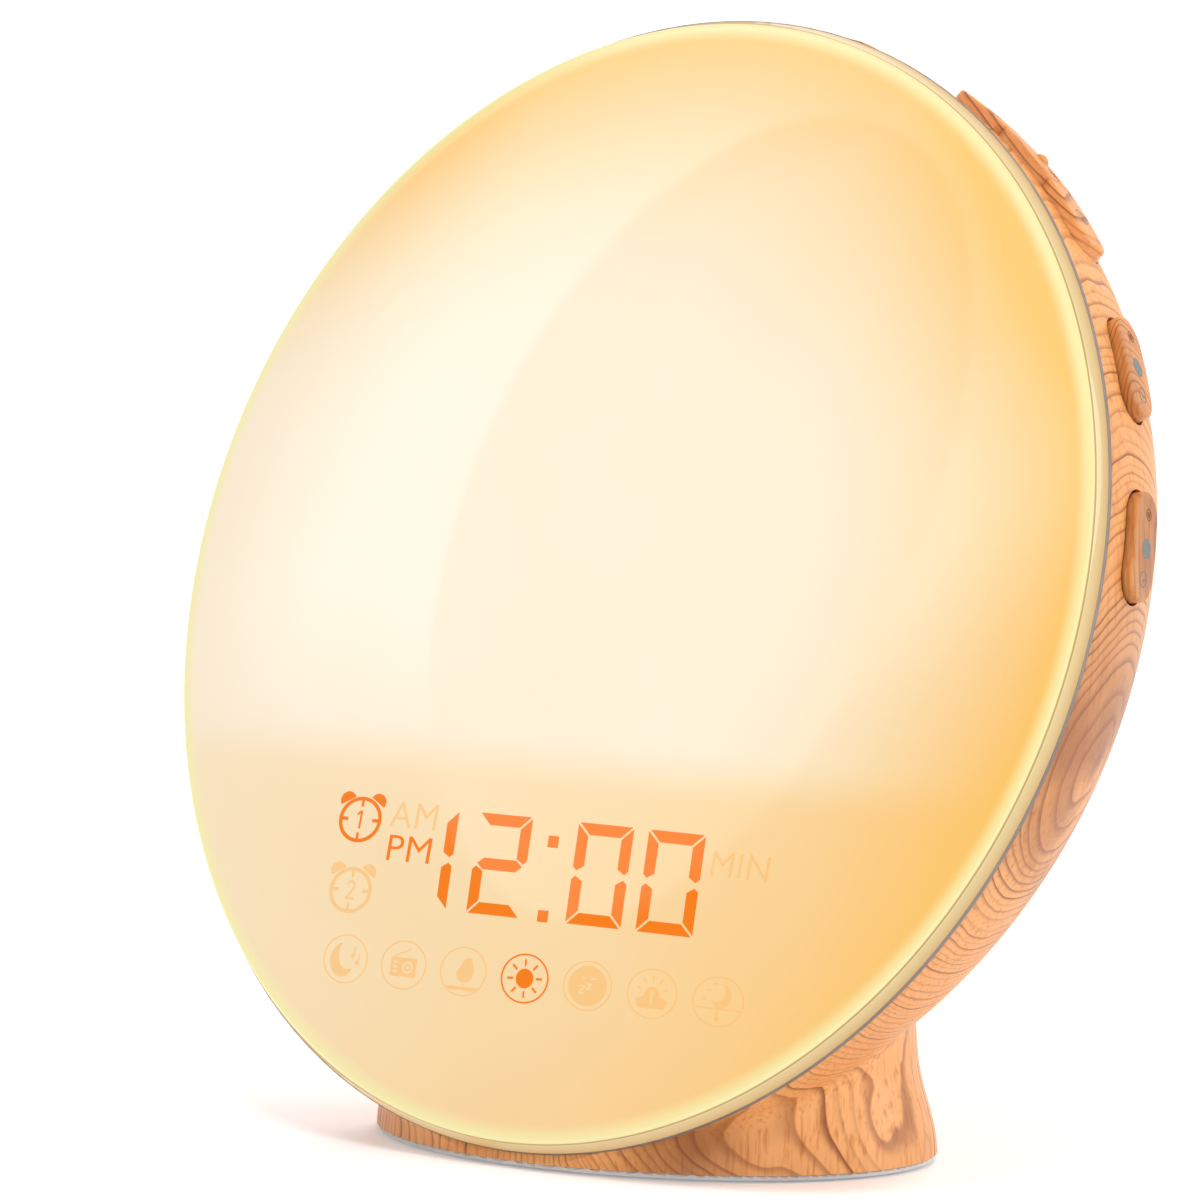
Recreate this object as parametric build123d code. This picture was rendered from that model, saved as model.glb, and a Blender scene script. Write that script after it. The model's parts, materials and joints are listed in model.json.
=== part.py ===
from build123d import *
import os
from math import ceil, cos, hypot, pi, radians, sin, sqrt, tan

# Sunrise alarm clock. Millimetres and degrees.
# Row frame: origin on the floor at the centre of the foot, +X to the right seen from
# the front, +Y to the back, +Z up.
# Head frame: origin at the centre of the lens rim, x to the right, y up along the
# lens, z out of the lens towards the front. Angles in it count clockwise from the top.

# ---------------------------------------------------------------- driving dimensions

# Head
lens_radius = 91.5
lens_lean = 18.3
lens_centre_y = -8.2
lens_centre_z = 91.2
lens_crown = 5.5
lens_wall = 2.0
lens_edge_round = 0.8
skirt_depth = 2.3
skirt_flare = 0.9
lip_depth = 5.2
lip_wall = 1.6
lip_inset = 5.3

# Casing: a back dome of superelliptic section, sheared upwards, over a flared foot
dome_depth = 42.0
dome_squareness = 4.6
dome_edge_power = 1.95
dome_rise = 4.0
case_wall = 2.4
foot_half_width = 50.9
foot_half_depth = 34.6
foot_flare = 3.4
neck_height = 19.0
neck_fillet = 6.0
column_top = 70.0
column_lean = 4.8

# Foot and base plate
pad_proud = 0.4
pad_thickness = 1.2
pad_radius = 5.0
base_lip = 0.8
base_lip_inset = 0.5
base_spigot = 1.6
base_floor = 0.8
base_boss_angles = (50.0, 130.0, 205.0, 335.0)
base_boss_height = 12.0
boss_radius = 3.2

# Mid frame
ring_thickness = 0.7
ring_proud = 1.0
frame_spigot = 4.0
web_thickness = 1.4
tray_inset = 21.5
tray_depth = 10.5
tray_wall = 2.0
shelf_width = 4.0
shelf_thickness = 1.5
post_inset = 10.0
post_angles = (18.5, 99.0, 130.0, -18.5, -99.0, -130.0)
post_radius = 3.5

# Keys on the shoulder of the casing
key_row_depth = 13.3
key_width = 8.2
key_height = 1.8
key_corner = 3.0
key_edge = 0.5
key_split = 0.35
key_flange = 1.0
key_sunk = 7.3
key_room_depth = 11.0
strip_span = 25.0
strip_angles = {"top": 0.0, "right": 37.0, "left": -37.0}
nub_radius = 1.4
nub_proud = 0.8
stem_radius = 1.5

# Rockers on the right side
rocker_length = 17.3
rocker_width = 8.0
rocker_angles = {"upper": 63.0, "lower": 81.5}
rocker_sunk = 4.9
rocker_stem_reach = 5.2
rocker_stem_radius = 1.2
rocker_stem_gap = 0.6
hinge_sunk = 6.1
hinge_pin_radius = 0.8
hinge_hub = 4.8
lug_wall = 1.4
lug_width = 4.4

# Push switches and the boards under the keys
key_board_sunk = 14.1
key_board_length = 40.0
rocker_board_length = 46.0
key_board_width = 11.0
board_thickness = 1.2
switch_size = 4.5
switch_height = 3.5
plunger_radius = 1.1
plunger_proud = 1.1
plunger_sunk = 1.0
rail_width = 4.0
rail_height = 5.0
slot_depth = 1.5

# Light unit
reflector_thickness = 1.5
light_board_outer = 62.0
light_board_inner = 34.0
led_rings = ((56.0, 24), (41.0, 16))
led_length = 3.5
led_width = 2.8
led_height = 0.9

# Display, laid out in the head frame
display_half_width = 45.3
display_bottom = -71.8
display_top = -32.6
display_front = -1.9
display_depth = 10.1
display_flange = 4.7
display_flange_thickness = 1.2
film_thickness = 0.3
digit_height = 16.4
digit_width = 11.0
digit_centres = (-9.95, 10.8, 25.3)
leading_digit = -25.6
digit_row = -48.2
digit_slant = -4.8
segment_width = 2.0
segment_gap = 0.4
colon_column = 0.4
colon_rows = (-43.7, -55.6)
symbol_row = -65.7
symbol_pitch = 12.92
symbol_count = 7
symbol_cell = 3.8
alarm_column = -40.5
alarm_rows = (-43.4, -54.8)
alarm_cell = 3.2
word_cell = (8.4, 4.2)
word_places = ((-29.9, -41.6), (-29.4, -47.4), (38.2, -44.7))
led_chip = (0.9, 0.6, 0.6)

# Main board and coin cell
main_board_width = 64.0
main_board_height = 42.0
main_board_low = 18.0
main_board_front = -29.0
main_board_thickness = 1.6
cell_radius = 10.0
cell_thickness = 3.2
cell_place = (-17.0, 41.0)
cell_floor = 0.8
ribbon_column = 8.0
ribbon_width = 10.0
ribbon_thickness = 0.3
ribbon_bend = 2.0
lead_column = -14.0
lead_radius = 0.8
lead_drop = 3.6

# Speaker behind the perforated field
speaker_length = 70.0
speaker_width = 31.0
speaker_centre = -3.1
speaker_bite = 3.5
gasket_thickness = 3.0
flange_thickness = 1.2
basket_depth = 9.0
magnet_radius = 11.0
magnet_thickness = 5.0
ear_overhang = 2.4
ear_radius = 3.4
grille_length = 68.0
grille_height = 28.0
grille_recess = 0.8
grille_hole = 1.5
grille_pitch = 3.0

# Input board
socket_row = 46.0
io_board_front = 1.0
io_board_half_width = 30.0
io_board_back = 17.3
io_tongue_half_width = 20.0
io_tongue_back = 22.8
io_post_reach = 26.5
io_post_back = 14.8
io_post_height = 8.0
io_rib = 2.0
usb_place = 15.5
usb_width = 13.2
usb_height = 5.8
usb_length = 13.8
usb_shell = 0.35
usb_face = 24.6
micro_place = -13.0
micro_width = 7.6
micro_height = 2.7
micro_length = 5.6
micro_face = 26.2
socket_clearance = 0.3
pinhole_radius = 0.8
reset_axis = 2.0
reset_radius = 0.9
reset_depth = 4.0

# Fasteners
case_screw_radius = 1.25
case_screw_head = 2.5
case_screw_head_height = 1.8
case_screw_length = 9.0
board_screw_radius = 0.9
board_screw_head = 1.9
board_screw_head_height = 1.3
screw_bite = 5.0
screw_hole_play = 0.15

# Clearances
key_clearance = 0.3
rocker_clearance = 0.45
seat_clearance = 0.3
gasket_seat = 0.5
running_clearance = 0.05
screw_clearance = 0.05
forward = 30.0
beyond = 60.0

# ------------------------------------------------------------------- derived sizes

lip_radius = lens_radius - lip_inset
dome_radius = lens_radius
tray_outer_radius = lens_radius - tray_inset
post_circle = lens_radius - post_inset
key_floor = dome_radius - key_sunk
key_room = dome_radius - key_room_depth
rocker_floor = dome_radius - rocker_sunk
hinge_height = dome_radius - hinge_sunk
key_board_height = dome_radius - key_board_sunk
rim_back = -skirt_depth
case_front = rim_back - ring_thickness
ring_radius = lens_radius + ring_proud
web_back = case_front - frame_spigot
web_front = web_back + web_thickness
shelf_front = web_front - tray_depth
shelf_back = shelf_front - shelf_thickness
key_row = -key_row_depth
strip_length = 2 * dome_radius * sin(radians(strip_span / 2))
key_pitch = strip_length / 3
display_back = display_front - display_depth
main_board_back = main_board_front - main_board_thickness
dome_back = case_front - dome_depth
inner_back = dome_back + case_wall
flange_back = inner_back + gasket_seat + gasket_thickness
flange_front = flange_back + flange_thickness
basket_back = flange_front + basket_depth
ear_reach = speaker_length / 2 + ear_overhang
base_top = pad_proud + base_lip
base_screw_seat = base_top + base_spigot - base_floor
io_board_top = socket_row - usb_height / 2
io_board_under = io_board_top - board_thickness
rocker_board_angle = sum(rocker_angles.values()) / len(rocker_angles)
hinge_pin_length = rocker_width + 1 + 2 * lug_wall

head = Plane(
    origin=(0, lens_centre_y, lens_centre_z),
    x_dir=(1, 0, 0),
    z_dir=(0, -cos(radians(lens_lean)), sin(radians(lens_lean))),
)

nodes = {}


def add(name, shape, in_head=True):
    """Keep a sub-part, or a group of them, moved from the head frame to the row frame."""
    pieces = shape if isinstance(shape, list) else [shape]
    solids = [solid for piece in pieces for solid in piece.solids()]
    if in_head:
        solids = [head.location * solid for solid in solids]
    nodes[name] = solids[0] if len(solids) == 1 else Compound(solids)


# ------------------------------------------------------------------- shape helpers


def disc(radius, low, high):
    """Cylinder about z from low to high."""
    return Pos(0, 0, (low + high) / 2) * Cylinder(radius, high - low)


def block(x, y, z):
    """Box between pairs of limits."""
    spans = [abs(b - a) for a, b in (x, y, z)]
    middles = [(a + b) / 2 for a, b in (x, y, z)]
    return Pos(*middles) * Box(*spans)


def spoke(angle):
    """Frame on the key row: x along the rim, y to the back, z straight outwards."""
    a = radians(angle)
    return Plane(origin=(0, 0, key_row), x_dir=(cos(a), -sin(a), 0), z_dir=(sin(a), cos(a), 0)).location


def at_angle(angle, radius):
    """Point of the head frame at an angle from the top."""
    return radius * sin(radians(angle)), radius * cos(radians(angle))


def screw(radius, head_radius, head_height, length):
    """Pan head screw with a cross recess, its head standing on z = 0."""
    body = disc(head_radius, 0, head_height) + disc(radius, -length, 0)
    recess = Pos(0, 0, head_height) * (Box(head_radius, 0.5, 1.0) + Box(0.5, head_radius, 1.0))
    return body - recess


def case_screw():
    return screw(case_screw_radius, case_screw_head, case_screw_head_height, case_screw_length)


def board_screw(length):
    return screw(board_screw_radius, board_screw_head, board_screw_head_height, length)


def racetrack(length, width):
    return SlotOverall(length, width)


# --------------------------------------------------------------------- casing


def dome(grow):
    """Back dome of the casing in the head frame, with its surface moved out by grow."""
    radius = dome_radius + grow
    depth = dome_depth + grow
    spans = 10
    points = []
    for step in range(spans):
        a = radians(90 * step / spans)
        across = radius * cos(a) ** (2 / dome_squareness)
        down = depth * sin(a) ** (2 / dome_edge_power)
        points.append((across, case_front - down))
    points.append((0, case_front - depth))
    front = case_front + forward
    outline = Spline(*points, tangents=[(0, -1), (-1, 0)])
    outline += Polyline(points[0], (radius, front), (0, front), points[-1])
    solid = revolve(make_face(Plane.XZ * outline), Axis.Z).solid()
    lift = dome_rise / dome_depth
    shear = Matrix([[1, 0, 0, 0], [0, 1, -lift, lift * case_front], [0, 0, 1, 0]])
    return solid.transform_geometry(shear)


def dome_height(angle, grow, depth=key_row_depth):
    """Distance of the dome's surface from the head's axis, depth behind the rim."""
    behind = depth + case_front
    share = behind / (dome_depth + grow)
    radius = (dome_radius + grow) * (1 - share**dome_edge_power) ** (1 / dome_squareness)
    return radius + dome_rise * behind / dome_depth * cos(radians(angle))


def foot_column(inset):
    """Oval foot column: widest on the floor, drawn in at the neck, leaning forward above it."""
    step = neck_height / 4
    sections = []
    for index in range(-2, ceil((column_top - inset) / step) + 1):
        share = min(max(index / 4, 0), 1)
        drawn_in = foot_flare * (1 - cos(pi * share)) / 2 + inset
        oval = Ellipse(foot_half_width - drawn_in, foot_half_depth - drawn_in)
        forward_shift = tan(radians(column_lean)) * max(index * step - neck_height, 0)
        sections.append(Pos(0, -forward_shift, index * step) * oval.face())
    return loft(sections)


def casing_body(inset):
    """Dome and foot column as one solid, blended where they meet."""
    upper = head.location * dome(-inset)
    lower = foot_column(inset)
    body = upper + lower
    seam = new_edges(upper, lower, combined=body)
    return body.fillet(neck_fillet + inset, seam)


def grille_oval(margin):
    return Pos(0, speaker_centre) * Ellipse(grille_length / 2 + margin, grille_height / 2 + margin)


def grille():
    """Flat oval field of staggered round holes, let into the casing's wall."""
    holes = []
    rise = grille_pitch * sqrt(3) / 2
    rows = int(grille_height / 2 / rise)
    columns = int(grille_length / 2 / grille_pitch) + 1
    for row in range(-rows, rows + 1):
        for column in range(-columns, columns + 1):
            x = (column + (row % 2) / 2) * grille_pitch
            y = row * rise
            if hypot(2 * x / grille_length, 2 * y / grille_height) < 1 - grille_hole / grille_height:
                holes.append(Pos(x, y + speaker_centre) * Circle(grille_hole / 2))
    plate = extrude(grille_oval(1.5) - holes, case_wall - grille_recess)
    return Pos(0, 0, dome_back + grille_recess) * plate


def speaker_posts():
    return [Pos(side * ear_reach, speaker_centre) for side in (-1, 1)]


def main_board_corners():
    inset = boss_radius
    xs = (-main_board_width / 2 + inset, main_board_width / 2 - inset)
    ys = (main_board_low + inset, main_board_low + main_board_height - inset)
    return [Pos(x, y) for x in xs for y in ys]


def base_boss_places():
    across = foot_half_width - foot_flare - case_wall - 1
    along = foot_half_depth - foot_flare - case_wall - 1
    return [Pos(across * cos(radians(a)), along * sin(radians(a))) for a in base_boss_angles]


def io_post_places():
    return [Pos(side * io_post_reach, io_post_back) for side in (-1, 1)]


def screw_pilot(seat, bite):
    """Hole for a board screw, a little deeper than the screw bites under its seat."""
    return disc(board_screw_radius + screw_clearance, seat - bite - 0.5, seat)


def board_rails(angle, length):
    """Two card guides on the casing that hold the ends of a key board."""
    top = key_board_height - board_thickness / 2 + rail_height / 2
    rails = []
    for side in (-1, 1):
        near = side * (length / 2 - slot_depth + 0.1)
        rails.append(
            spoke(angle)
            * block((near, near + side * rail_width), (-key_board_width / 2, beyond), (top - rail_height, top))
        )
    return rails


def board_slot(angle, length):
    """Room for a key board between its card guides."""
    half = length / 2 + 0.1
    play = 0.05
    return spoke(angle) * block(
        (-half, half),
        (-key_board_width, key_board_width / 2 + play),
        (key_board_height - board_thickness - play, key_board_height + play),
    )


def strip_slot(angle):
    """Opening in the casing for a strip of three keys."""
    return strip_block(angle, key_clearance)


def rocker_slot(angle):
    outline = racetrack(rocker_length + 2 * rocker_clearance, rocker_width + 2 * rocker_clearance)
    return spoke(angle) * Pos(0, 0, rocker_floor - 2) * extrude(outline, 20)


def hinge_lugs(angle):
    """Two ears under the casing wall that carry a rocker's hinge pin."""
    near = hinge_pin_length / 2 - lug_wall
    low = hinge_height - 1.4
    high = rocker_floor + 3
    lugs = []
    for side in (-1, 1):
        lug = block((-lug_width / 2, lug_width / 2), (side * near, side * (near + lug_wall)), (low, high))
        lugs.append(spoke(angle) * lug)
    return lugs


def hinge_rod(angle, radius, length):
    """Cylinder on a rocker's hinge axis, for the pin and for its holes."""
    return spoke(angle) * Pos(0, 0, hinge_height) * Rot(90, 0, 0) * Cylinder(radius, length)


def back_shell():
    front_room = head.location * Pos(0, 0, case_front + beyond) * Box(300, 300, 2 * beyond)
    floor_room = Pos(0, 0, base_top - beyond / 2) * Box(300, 300, beyond)
    outer = casing_body(0) - front_room - floor_room
    shell = outer - casing_body(case_wall)

    # everything that stands on the inside of the wall, rooted half way through it
    standing = []
    for angle in post_angles:
        standing.append(Pos(*at_angle(angle, post_circle)) * disc(post_radius, -beyond, web_back))
    for place in speaker_posts():
        standing.append(place * disc(ear_radius, -beyond, flange_back))
    for place in main_board_corners():
        standing.append(place * disc(boss_radius, -beyond, main_board_back))
    for angle in strip_angles.values():
        standing += board_rails(angle, key_board_length)
    standing += board_rails(rocker_board_angle, rocker_board_length)
    for angle in rocker_angles.values():
        standing += hinge_lugs(angle)
    standing = [head.location * solid for solid in standing]
    for place in base_boss_places():
        standing.append(place * disc(boss_radius, base_top + base_spigot, base_top + base_boss_height))
    for place in io_post_places():
        low = io_board_under - io_post_height
        standing.append(place * disc(boss_radius, low, io_board_under))
        standing.append(place * block((-io_rib / 2, io_rib / 2), (0, beyond), (low, io_board_under)))
    rooted = casing_body(case_wall / 2)
    shell += [rooted & solid for solid in standing]

    # openings and screw holes
    cuts = []
    pilot = case_screw_radius + screw_clearance
    for angle in post_angles:
        hole = disc(pilot, web_back - case_screw_length, web_back)
        cuts.append(Pos(*at_angle(angle, post_circle)) * hole)
    for place in speaker_posts():
        cuts.append(place * screw_pilot(flange_back, speaker_bite))
    for place in main_board_corners():
        cuts.append(place * screw_pilot(main_board_back, screw_bite))
    for angle in strip_angles.values():
        cuts.append(board_slot(angle, key_board_length))
        cuts.append(strip_slot(angle))
    cuts.append(board_slot(rocker_board_angle, rocker_board_length))
    for angle in rocker_angles.values():
        cuts.append(rocker_slot(angle))
        cuts.append(hinge_rod(angle, hinge_pin_radius + running_clearance / 2, hinge_pin_length + 0.2))
    cuts.append(Pos(0, 0, dome_back - case_wall) * extrude(grille_oval(1), 4 * case_wall))
    cuts = [head.location * solid for solid in cuts]
    for place in base_boss_places():
        cuts.append(place * disc(pilot, base_top, base_screw_seat + case_screw_length + 0.5))
    for place in io_post_places():
        cuts.append(place * screw_pilot(io_board_under, screw_bite))
    cuts += socket_holes()
    return shell - cuts + head.location * grille()


def socket_holes():
    """Openings in the back wall for the two sockets and the reset pinhole."""
    usb = block(
        (usb_place - usb_width / 2 - socket_clearance, usb_place + usb_width / 2 + socket_clearance),
        (io_board_back, beyond),
        (io_board_top - socket_clearance, io_board_top + usb_height + socket_clearance),
    )
    micro = block(
        (micro_place - micro_width / 2 - socket_clearance, micro_place + micro_width / 2 + socket_clearance),
        (io_board_back, beyond),
        (io_board_top - socket_clearance, io_board_top + micro_height + socket_clearance),
    )
    pinhole = Rot(-90, 0, 0) * disc(pinhole_radius, 0, 20)
    pinhole = Pos(0, io_tongue_back, io_board_top + reset_axis) * pinhole
    return [usb, micro, pinhole]


# --------------------------------------------------------------------- keys


def strip_block(angle, margin):
    """Straight block along the way that a strip's keys move, grown by a margin."""
    outline = RectangleRounded(strip_length + 2 * margin, key_width + 2 * margin, key_corner + margin)
    return spoke(angle) * Pos(0, 0, key_room) * extrude(outline, dome_radius + 10 - key_room)


def key_strip(angle):
    """One strip before it is cut into keys: a cap that follows the dome, on a flange."""
    caps = strip_block(angle, 0)
    top = dome(key_height)
    strip = caps & top
    strip = fillet(new_edges(caps, top, combined=strip), key_edge)
    strip += strip_block(angle, key_flange) & dome(-case_wall - seat_clearance)
    return strip - disc(key_floor, -beyond, beyond)


def key(angle, place, strip):
    """One key of a strip, with its stem; the middle one has a nub to feel."""
    half = (key_pitch - key_split) / 2
    if place == 0:
        span = (-half, half)
    else:
        span = (place * (key_pitch / 2 + key_split / 2), place * strip_length)
    cap = strip & spoke(angle) * block(span, (-2 * key_width, 2 * key_width), (key_room, 2 * dome_radius))
    stem_end = key_board_height + switch_height + plunger_proud
    cap += spoke(angle) * Pos(place * key_pitch, 0) * disc(stem_radius, stem_end, key_floor + 1)
    if place == 0:
        rise = dome_height(angle, key_height) + nub_proud - nub_radius
        cap += spoke(angle) * Pos(0, 0, rise) * Sphere(nub_radius)
    return cap


def plunger(angle, place):
    base = key_board_height + switch_height
    low = base - plunger_sunk
    return spoke(angle) * Pos(place * key_pitch, 0) * disc(plunger_radius, low, base + plunger_proud)


def push_switch(bored):
    """Square push switch standing on z = 0: open for a plunger, or with its button up."""
    side = (-switch_size / 2, switch_size / 2)
    body = block(side, side, (0, switch_height))
    if bored:
        room = plunger_sunk + 1.0
        return body - disc(plunger_radius + running_clearance, switch_height - room, switch_height)
    return body + disc(plunger_radius, switch_height, switch_height + plunger_proud)


def key_board(angle, length):
    half = length / 2
    return spoke(angle) * block(
        (-half, half),
        (-key_board_width / 2, key_board_width / 2),
        (key_board_height - board_thickness, key_board_height),
    )


# --------------------------------------------------------------------- rockers


def stem_end_on_board(angle, reach):
    """Height in a rocker's frame at which its stem meets the switch button, and the
    place of that switch along the rocker board."""
    turn = radians(angle - rocker_board_angle)
    button = key_board_height + switch_height + plunger_proud
    height = (button + reach * sin(turn)) / cos(turn)
    return height, height * sin(turn) + reach * cos(turn)


def rocker(angle):
    """Pill-shaped rocker: a cap that follows the dome, a hinge hub and two stems."""
    outline = racetrack(rocker_length, rocker_width)
    prism = spoke(angle) * Pos(0, 0, rocker_floor) * extrude(outline, 20)
    top = dome(key_height)
    cap = prism & top
    cap = fillet(new_edges(prism, top, combined=cap), key_edge)
    hub_half = rocker_width / 2 - 0.2
    root = rocker_floor + 0.5
    hub = block((-hinge_hub / 2, hinge_hub / 2), (-hub_half, hub_half), (hinge_height - 1.5, root))
    cap += spoke(angle) * hub
    for side in (-1, 1):
        reach = side * rocker_stem_reach
        low = stem_end_on_board(angle, reach)[0] + rocker_stem_gap
        cap += spoke(angle) * Pos(reach, 0) * disc(rocker_stem_radius, low, root)
    return cap - hinge_rod(angle, hinge_pin_radius + running_clearance, hinge_pin_length)


def rocker_switches():
    switches = []
    for angle in rocker_angles.values():
        for side in (-1, 1):
            along = stem_end_on_board(angle, side * rocker_stem_reach)[1]
            switches.append(spoke(rocker_board_angle) * Pos(along, 0, key_board_height) * push_switch(False))
    return switches


def hinge_pins():
    return [hinge_rod(angle, hinge_pin_radius, hinge_pin_length) for angle in rocker_angles.values()]


# --------------------------------------------------------------------- head front


def lens_arc(drop):
    """Radius and centre height of the sphere that the lens follows, drop under it."""
    sphere = (lens_radius**2 + lens_crown**2) / (2 * lens_crown)
    return sphere - drop, lens_crown - sphere


def lens_surface(radius, drop=0.0):
    """Height of the lens's front, or of a surface drop under it, at a radius."""
    sphere, middle = lens_arc(drop)
    return middle + sqrt(sphere**2 - radius**2)


def front_lens():
    """Crowned diffuser with a short flared skirt and a lip that plugs into the frame."""
    rim = (lens_radius, 0)
    skirt = (lens_radius + skirt_flare, rim_back)
    lip_inner = lip_radius - lip_wall
    outer_mid = (lens_radius / 2, lens_surface(lens_radius / 2))
    inner_mid = (lip_inner / 2, lens_surface(lip_inner / 2, lens_wall))
    inner_end = (lip_inner, lens_surface(lip_inner, lens_wall))
    outline = ThreePointArc((0, lens_crown), outer_mid, rim)
    lip = ((lip_radius, rim_back), (lip_radius, -lip_depth), (lip_inner, -lip_depth))
    outline += Polyline(rim, skirt, *lip, inner_end)
    outline += ThreePointArc(inner_end, inner_mid, (0, lens_crown - lens_wall))
    outline += Line((0, lens_crown - lens_wall), (0, lens_crown))
    body = revolve(make_face(Plane.XZ * outline), Axis.Z)
    circles = body.edges().filter_by(GeomType.CIRCLE)
    rim_edge = circles.filter_by(lambda e: abs(e.radius - lens_radius) < 1e-3)
    return fillet(rim_edge, lens_edge_round)


def display_window(margin, low, high):
    """Room around the display's light box."""
    return block(
        (-display_half_width - margin, display_half_width + margin),
        (display_bottom - margin, display_top + margin),
        (low, high),
    )


def mid_frame():
    """Ring that shows as the thin line behind the lens, with its spigot, web and tray."""
    inner = lip_radius + 0.2
    spigot_radius = dome_height(180, -case_wall, -web_back) - seat_clearance
    tray_inner = tray_outer_radius - tray_wall
    shelf_inner = tray_inner - shelf_width
    outline = Polyline(
        (inner, rim_back),
        (ring_radius, rim_back),
        (ring_radius, case_front),
        (spigot_radius, case_front),
        (spigot_radius, web_back),
        (tray_outer_radius, web_back),
        (tray_outer_radius, shelf_back),
        (shelf_inner, shelf_back),
        (shelf_inner, shelf_front),
        (tray_inner, shelf_front),
        (tray_inner, web_front),
        (inner, web_front),
        close=True,
    )
    ring = revolve(make_face(Plane.XZ * outline), Axis.Z)
    cuts = [display_window(0.4, shelf_back - 1, 0)]
    for angle in post_angles:
        hole = disc(case_screw_radius + screw_hole_play, web_back, web_front)
        cuts.append(Pos(*at_angle(angle, post_circle)) * hole)
    for place in reflector_screw_places():
        cuts.append(place * disc(board_screw_radius + screw_clearance, shelf_back, shelf_front))
    for place in display_screw_places():
        cuts.append(place * disc(board_screw_radius + screw_clearance, web_back, web_front))
    return ring - cuts


def reflector_screw_places():
    circle = tray_outer_radius - tray_wall - shelf_width / 2
    return [Pos(*at_angle(angle, circle)) for angle in (0, 100, -100)]


def display_screw_places():
    return [Pos(side * (display_half_width + display_flange / 2 + 0.2), -56.0) for side in (-1, 1)]


def reflector_plate():
    """White plate behind the lights, cut off in a chord above the display."""
    radius = tray_outer_radius - tray_wall - seat_clearance
    plate = disc(radius, shelf_front, shelf_front + reflector_thickness)
    plate -= display_window(1.0, -beyond, 0) + block((-90, 90), (-90, display_top + 1.0), (-beyond, 0))
    for place in reflector_screw_places():
        plate -= place * disc(board_screw_radius + screw_hole_play, -beyond, 0)
    return plate


def light_board():
    low = shelf_front + reflector_thickness
    high = low + board_thickness
    ring = disc(light_board_outer, low, high) - disc(light_board_inner, low, high)
    return ring - block((-90, 90), (-90, display_top + 2.0), (-beyond, 0))


def light_chips():
    """Rings of light chips on the light board, left out where the board is cut off."""
    low = shelf_front + reflector_thickness + board_thickness
    chips = []
    for radius, count in led_rings:
        for index in range(count):
            angle = 360 * index / count
            x, y = at_angle(angle, radius)
            if y > display_top + 2.0 + led_length:
                chip = Pos(0, 0, low + led_height / 2) * Box(led_width, led_length, led_height)
                chips.append(Pos(x, y) * Rot(0, 0, -angle) * chip)
    return chips


# --------------------------------------------------------------------- display


def slanted(x, y):
    """Point of a digit, leaned over about the middle of the digits."""
    return x + y * sin(radians(digit_slant)), y


def segments():
    """The seven segments of a digit around its centre, with mitred ends."""
    w = digit_width / 2
    h = digit_height / 2
    t = segment_width
    gap = segment_gap
    bar = [(gap - w, h), (w - gap, h), (w - t - gap, h - t), (t + gap - w, h - t)]
    post = [(w, h - gap), (w, t / 2 + gap), (w - t / 2, gap), (w - t, t / 2 + gap), (w - t, h - t - gap)]
    middle = [(gap + t / 2 - w, 0), (t + gap - w, t / 2), (w - t - gap, t / 2)]
    middle += [(-x, -y) for x, y in middle]
    outlines = {"middle": middle}
    for side in (-1, 1):
        outlines["top" if side > 0 else "bottom"] = [(x, side * y) for x, y in bar]
        for end in (-1, 1):
            name = ("upper " if end > 0 else "lower ") + ("right" if side > 0 else "left")
            outlines[name] = [(side * x, end * y) for x, y in post]
    faces = {}
    for name, points in outlines.items():
        faces[name] = make_face(Polyline(*[slanted(x, y) for x, y in points], close=True))
    return faces


def display_cells():
    """Every opening of the light box, as one sketch."""
    faces = []
    outlines = segments()
    for x in digit_centres:
        faces += [Pos(x, digit_row) * face for face in outlines.values()]
    faces += [Pos(leading_digit, digit_row) * outlines[name] for name in ("upper right", "lower right")]
    faces += [Pos(colon_column, y) * Rectangle(segment_width, segment_width) for y in colon_rows]
    first = -symbol_pitch * (symbol_count - 1) / 2
    for index in range(symbol_count):
        faces.append(Pos(first + index * symbol_pitch, symbol_row) * Circle(symbol_cell))
    faces += [Pos(alarm_column, y) * Circle(alarm_cell) for y in alarm_rows]
    faces += [Pos(x, y) * Rectangle(*word_cell) for x, y in word_places]
    return Sketch() + faces


def display_outline(margin):
    """Flat outline of the display, rounded off where the lip of the lens passes."""
    width = 2 * (display_half_width - margin)
    height = display_top - display_bottom - 2 * margin
    middle = (display_top + display_bottom) / 2
    return Pos(0, middle) * Rectangle(width, height) & Circle(lip_radius - lip_wall - 0.4 - margin)


def display_light_box():
    low = display_back
    high = display_front - film_thickness
    box = Pos(0, 0, low) * extrude(display_outline(0), high - low)
    flange_width = 2 * (display_half_width + display_flange)
    flange_low = display_bottom + 4
    flange = Pos(0, (flange_low + display_top) / 2) * Rectangle(flange_width, display_top - flange_low)
    flange = flange & Circle(lip_radius - lip_wall - 0.4)
    box += Pos(0, 0, web_front) * extrude(flange, display_flange_thickness)
    for place in display_screw_places():
        hole = disc(board_screw_radius + screw_hole_play, web_front, web_front + display_flange_thickness)
        box -= place * hole
    return box - Pos(0, 0, low) * extrude(display_cells(), high - low)


def display_film():
    return Pos(0, 0, display_front - film_thickness) * extrude(display_outline(0.5), film_thickness)


def display_board():
    low = display_back - board_thickness
    board = Pos(0, 0, low) * extrude(display_outline(1.0), board_thickness)
    return board + block((2, 14), (display_top - 9, display_top - 4), (low - 2, low))


def display_leds():
    """One small chip in the middle of each opening of the light box."""
    chips = []
    for face in display_cells().faces():
        centre = face.center()
        chips.append(Pos(centre.X, centre.Y, display_back + led_chip[2] / 2) * Box(*led_chip))
    return chips


# --------------------------------------------------------------------- electronics


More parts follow.
